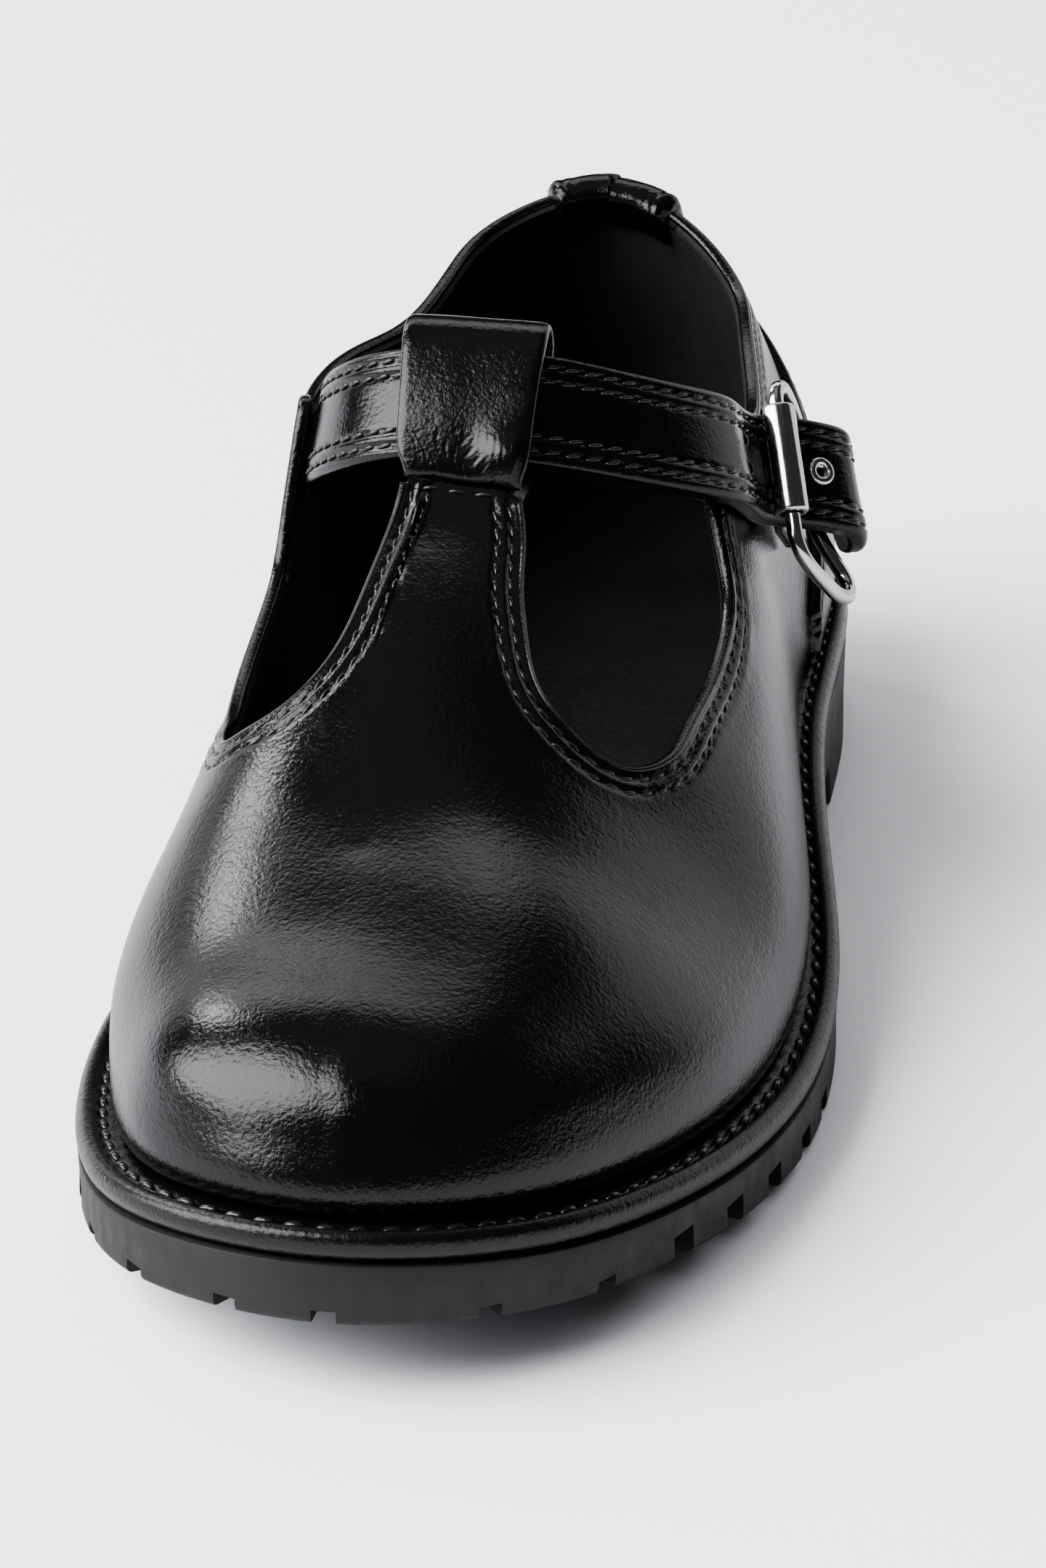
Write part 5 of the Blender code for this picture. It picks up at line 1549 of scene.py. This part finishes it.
def build_strap_skin(material, thread):
    """Two-layer strap with rounded edges, stitched grooves and double stitches along both edges."""
    centres, wide, out = strap_frames(STRAP_RINGS)
    along = walked(centres)
    narrow = strap_width(along)
    half_thick = STRAP_THICKNESS / 2
    flat = np.linspace(-1.0, 1.0, 73)
    turns = np.linspace(0.3, np.pi - 0.3, 9)
    level = half_thick * np.cos(turns)
    bulge = STRAP_ROUND * np.sin(turns) - STRAP_LAYER_NOTCH[0] * hump(level, STRAP_LAYER_NOTCH[1])
    rings = []
    for centre, across, outward, factor, walked_by in zip(centres, wide, out, narrow, along):
        straight = STRAP_WIDTH / 2 * factor - STRAP_ROUND
        inward = straight + STRAP_ROUND - abs(flat * straight)
        padded = relief(inward, walked_by, STRAP_STITCH, STRAP_ROWS, STRAP_GROOVE, STRAP_SWELLS)
        rounded = part_way(abs(flat) * straight, straight - STRAP_CORNER[1], straight) ** 2
        rounded *= STRAP_CORNER[0]
        front = np.stack([flat * straight, half_thick + padded * min(1.0, factor * 1.2) - rounded], 1)
        back = np.stack([flat[::-1] * straight, -half_thick + 0.1 * (rounded > 0)], 1)
        right = np.stack([straight + bulge, level * 0.92], 1)
        section = np.concatenate([front, right, back, right[::-1] * (-1.0, 1.0)])
        rings.append(centre + across * section[:, :1] + outward * section[:, 1:])
    add_swept("strap_skin", rings, material, "polished_leather", "ankle_strap")
    parts = []
    for sign in (-1, 1):
        for row in STRAP_ROWS:
            offset = sign * (STRAP_WIDTH / 2 * narrow - row)
            line = centres + wide * offset[:, None] + out * (half_thick - STRAP_THREAD_SINK)
            keep = narrow > STRAP_STITCHED
            parts.append(stitch_line(line[keep], out[keep], STRAP_STITCH))
    back = (centres - np.asarray(BUCKLE_CENTRE)) @ buckle_axes()[0]
    front_part = np.flatnonzero((centres[:, 1] > 8.0) & (back < 0.0))
    place = front_part[int(np.argmin(abs(back[front_part] + STRAP_SEAM_AHEAD)))]
    span = np.linspace(-1, 1, 20) * (STRAP_WIDTH / 2 - STRAP_SEAM_CLEAR)
    line = centres[place] + wide[place] * span[:, None] + out[place] * (half_thick + 0.02)
    parts.append(stitch_line(line, np.tile(out[place], (len(line), 1)), STRAP_SEAM_STITCH))
    add_piece("strap_stitching", *joined(parts), thread, "welt_leather", "ankle_strap")


# ---------------------------------------------------------------- buckle


def add_metal(name, rings, material, replaced, sharp=None):
    """Closed ring of polished metal."""
    faces = grid_faces(*rings.shape[:2], closed_rows=True, closed_columns=True)
    piece = add_piece(name, rings, faces, material, "silver_metal", replaced)
    fix_normals(piece)
    if sharp is not None:
        piece.data.set_sharp_from_angle(angle=math.radians(sharp))


FRAME_RINGS = 320
FRAME_CORNERS = 24
METAL_SHARP = 50
ROLLER_RIM = 0.4
ROLLER_LIP = 0.2
CHAPE_ROUND = 0.3
CHAPE_RINGS = 160
# Eyelet: radius of its bore, of its barrel and of the middle of its rolled rim, and the rim's size
EYELET_BORE = 0.55
EYELET_BARREL = 0.9
EYELET_MIDDLE = 1.15
EYELET_ROLL = (0.45, 0.4)


def build_frame_wire(material):
    """Cast D-shaped wire of the buckle."""
    centres = buckle_point(*closed_curve(FRAME_LINE, FRAME_RINGS).T)
    run = unit(np.roll(centres, -1, axis=0) - np.roll(centres, 1, axis=0))
    across = unit(np.cross(run, buckle_axes()[2]))
    out = unit(np.cross(across, run))
    section = circle(FRAME_WIRE, FRAME_CORNERS)
    rings = centres[:, None] + across[:, None] * section[:, :1] + out[:, None] * section[:, 1:]
    add_metal("buckle_wire", rings, material, "buckle_frame")


def turned_piece(name, centre, axis, profile, material, replaced, count):
    """Piece of revolution from a closed profile of radius and distance along the axis."""
    axis = unit(axis)
    first = unit(np.cross(axis, (0.3, 0.9, 0.2)))
    second = np.cross(axis, first)
    rows = []
    for radius, along in profile:
        spin = circle(radius, count)
        rows.append(np.asarray(centre) + axis * along + first * spin[:, :1] + second * spin[:, 1:])
    add_metal(name, np.array(rows), material, replaced, METAL_SHARP)


def build_roller_tube(material):
    """Roller with bright rounded rims."""
    end, rim = ROLLER_HALF_LENGTH, ROLLER_RIM
    profile = [(ROLLER_BORE, -end), (ROLLER_BORE + ROLLER_LIP, -end)]
    for turn in np.linspace(0.0, np.pi / 2, 8):
        profile.append((ROLLER_RADIUS - rim + rim * math.sin(turn), rim - end - rim * math.cos(turn)))
    profile += [(radius, -along) for radius, along in profile[::-1]]
    turned_piece("roller_tube", BUCKLE_CENTRE, buckle_axes()[1], profile, material, "buckle_roller", 64)


def build_chape_skin(material):
    """Folded tab round the back bar of the buckle."""
    line = open_curve(CHAPE_LINE, CHAPE_RINGS)
    run = unit(np.gradient(line, axis=0))
    out = np.stack([-run[:, 1], run[:, 0]], 1)
    half_thick, straight = CHAPE_THICKNESS / 2, CHAPE_WIDTH / 2 - CHAPE_ROUND
    turns = np.linspace(0.3, 2.84, 6)
    section = [(x, half_thick) for x in np.linspace(-straight, straight, 12)]
    section += [(straight + CHAPE_ROUND * math.sin(a), half_thick * math.cos(a)) for a in turns]
    section += [(-x, -y) for x, y in section]
    x, y = np.array(section).T
    rings = [
        buckle_point(back + lean_back * y, CHAPE_CENTRE + x, away + lean_out * y)
        for (back, away), (lean_back, lean_out) in zip(line, out)
    ]
    add_swept("chape_skin", rings, material, "polished_leather", "buckle_chape")


def build_eyelet_ring(material):
    """Small rolled ring round the hole in the strap."""
    centre, outward = eyelet_place()
    half = STRAP_THICKNESS / 2 + GAP
    profile = [(EYELET_BORE, -1.0), (EYELET_BARREL, -1.0), (EYELET_BARREL, half)]
    wide, high = EYELET_ROLL
    for turn in np.linspace(-0.1, np.pi + 0.1, 12):
        profile.append((EYELET_MIDDLE + wide * math.cos(turn), half + 0.05 + high * math.sin(turn)))
    profile.append((EYELET_BORE, half - 0.1))
    turned_piece("eyelet_ring", centre, outward, profile, material, "strap_eyelet", 48)


# ---------------------------------------------------------------- stage


# From here on, lengths are metres
FLOOR_REACH = 6.0


def build_stage():
    """Pale floor that the shoe stands on."""
    mesh = bpy.data.meshes.new("floor")
    corners = [(x * FLOOR_REACH, y * FLOOR_REACH, 0) for x, y in ((-1, -1), (1, -1), (1, 1), (-1, 1))]
    mesh.from_pydata(corners, [], [(0, 1, 2, 3)])
    mesh.materials.append(studio_paper("studio_paper"))
    floor = bpy.data.objects.new("floor", mesh)
    floor.location.z = float(cad_low[2])
    bpy.context.collection.objects.link(floor)


def add_light(name, centre, facing, width, height, glow, floor_only=False):
    """Upright rectangular soft light at a place in metres from the shoe, facing along a direction."""
    facing = Vector(facing).normalized()
    data = bpy.data.lights.new(name, "AREA")
    data.shape = "RECTANGLE"
    data.size = width
    data.size_y = height
    data.energy = glow * width * height * math.pi
    light = bpy.data.objects.new(name, data)
    lift = Vector((0.0, 1.0, 0.0)) if abs(facing.z) > 0.9 else Vector((0.0, 0.0, 1.0))
    side = lift.cross(-facing).normalized()
    up = (-facing).cross(side)
    turn = Matrix((side, up, -facing)).transposed()
    light.matrix_world = Matrix.Translation(Vector(centre) + Vector(HEART)) @ turn.to_4x4()
    light.visible_glossy = not floor_only
    bpy.context.collection.objects.link(light)


# Place in the shoe that the lights are set round
HEART = (0.0, -0.03, 0.035)
WINDOW_GLOW = 13.0
# Each light: place, direction it faces, width, height and brightness
LIGHTS = (
    ("edge_strip", (-0.92, 0.55, 0.8), (0.86, -0.51, -0.25), 0.18, 0.44, 26.0),
    ("back_band_left", (-1.03, 1.2, 1.38), (0, -1, 0), 1.06, 0.96, 3.4),
    ("back_band_right", (0.02, 1.2, 1.38), (0, -1, 0), 1.04, 0.96, 2.1),
    ("low_panel_left", (-1.3, 1.3, 0.42), (0.5, -0.87, 0), 0.9, 0.84, 1.0),
    ("low_panel_right", (0.9, 1.22, 0.5), (-0.58, -0.81, 0), 1.42, 1.0, 1.0),
    ("ceiling", (0.0, 0.0, 2.2), (0, 0, -1), 1.6, 1.6, 0.18),
)
# Broad lights above that brighten the paper and soften the shadow
FILLS = (
    ("paper_fill", (-1.5, -0.5, 1.7), (0.64, 0.2, -0.74), 1.7, 1.7, 22.0, True),
    ("overhead_fill", (0.3, 0.2, 2.0), (0, 0, -1), 3.0, 3.0, 1.3, True),
)
# Leaning window: lower corner near the heel, its way towards the toe, its way up, and its slices
WINDOW_CORNER = (-1.35, 0.25, 0.2)
WINDOW_ALONG = (0.5, -0.95, 0.0)
WINDOW_UP = (0.5, -0.6, 1.5)
WINDOW_SLICES = 6
ROOM_TINT = (0.92, 0.95, 1.0, 1.0)
ROOM_GLOW = 0.03


def build_window():
    """Large soft window on the inner side, leaning towards the toe, laid in level slices."""
    corner, along, up = Vector(WINDOW_CORNER), Vector(WINDOW_ALONG), Vector(WINDOW_UP)
    facing = along.cross(up).normalized()
    if facing.dot(corner) > 0:
        facing.negate()
    tall = (up - along * up.dot(along) / along.length_squared).length / WINDOW_SLICES
    for number in range(WINDOW_SLICES):
        centre = corner + along / 2 + up * (number + 0.5) / WINDOW_SLICES
        add_light(f"window_{number + 1}", centre, facing, along.length, tall, WINDOW_GLOW)


def build_lights():
    """Soft studio light: bright window on the left, grey panels behind, dark on the right."""
    build_window()
    for light in LIGHTS + FILLS:
        add_light(*light)
    studio = bpy.data.worlds.new("studio")
    studio.use_nodes = True
    background = studio.node_tree.nodes["Background"]
    background.inputs["Color"].default_value = ROOM_TINT
    background.inputs["Strength"].default_value = ROOM_GLOW
    bpy.context.scene.world = studio


CAMERA_PLACE = (0.0764, -0.4960, 0.2620)
CAMERA_TARGET = (0.0035, -0.018, 0.030)
CAMERA_LENS = 118.0


def build_camera():
    """Camera in front of the toe, a little to the outer side and well above the shoe."""
    data = bpy.data.cameras.new("camera")
    data.sensor_fit = "AUTO"
    data.sensor_width = 36.0
    data.lens = CAMERA_LENS
    data.clip_start = 0.01
    camera = bpy.data.objects.new("camera", data)
    camera.location = CAMERA_PLACE
    camera.rotation_mode = "QUATERNION"
    camera.rotation_quaternion = (Vector(CAMERA_TARGET) - Vector(CAMERA_PLACE)).to_track_quat("-Z", "Y")
    bpy.context.collection.objects.link(camera)
    bpy.context.scene.camera = camera


def main():
    """Build every piece, the stage, the lights and the camera."""
    feather = Feather()
    chart = Chart(feather)
    build_camera()
    leather = polished_leather("polished_leather")
    strap = polished_leather("strap_leather", 0.13, 0.8, 0.8)
    welt = polished_leather("welt_leather", 0.24, 1.4, 0.6)
    thread = thread_material("waxed_thread")
    # Lit copy of the lining material: its colour is painted 2.4 times lighter
    lining = lining_leather("lining", 2.4)
    metal = silver_metal("silver_metal")
    opening = Opening(chart, EDGE_STEP)
    build_upper_leather(chart, opening, leather)
    build_upper_lining(chart, opening, lining)
    build_upper_stitching(chart, opening, thread)
    build_welt_strip(welt)
    build_welt_stitching(thread)
    build_sole_body(sole_rubber("sole_rubber"))
    # Shaded copy of the lining material: the footbed's colour is painted darker as shade deep inside the shoe
    build_footbed(lining_leather("footbed_leather", 0.6))
    build_counter_skin(feather, leather, thread)
    build_binding_skin(feather, leather)
    build_loop_skin(feather, strap)
    build_strap_skin(strap, thread)
    build_frame_wire(metal)
    build_roller_tube(metal)
    build_chape_skin(strap)
    build_eyelet_ring(metal)
    build_stage()
    build_lights()


main()
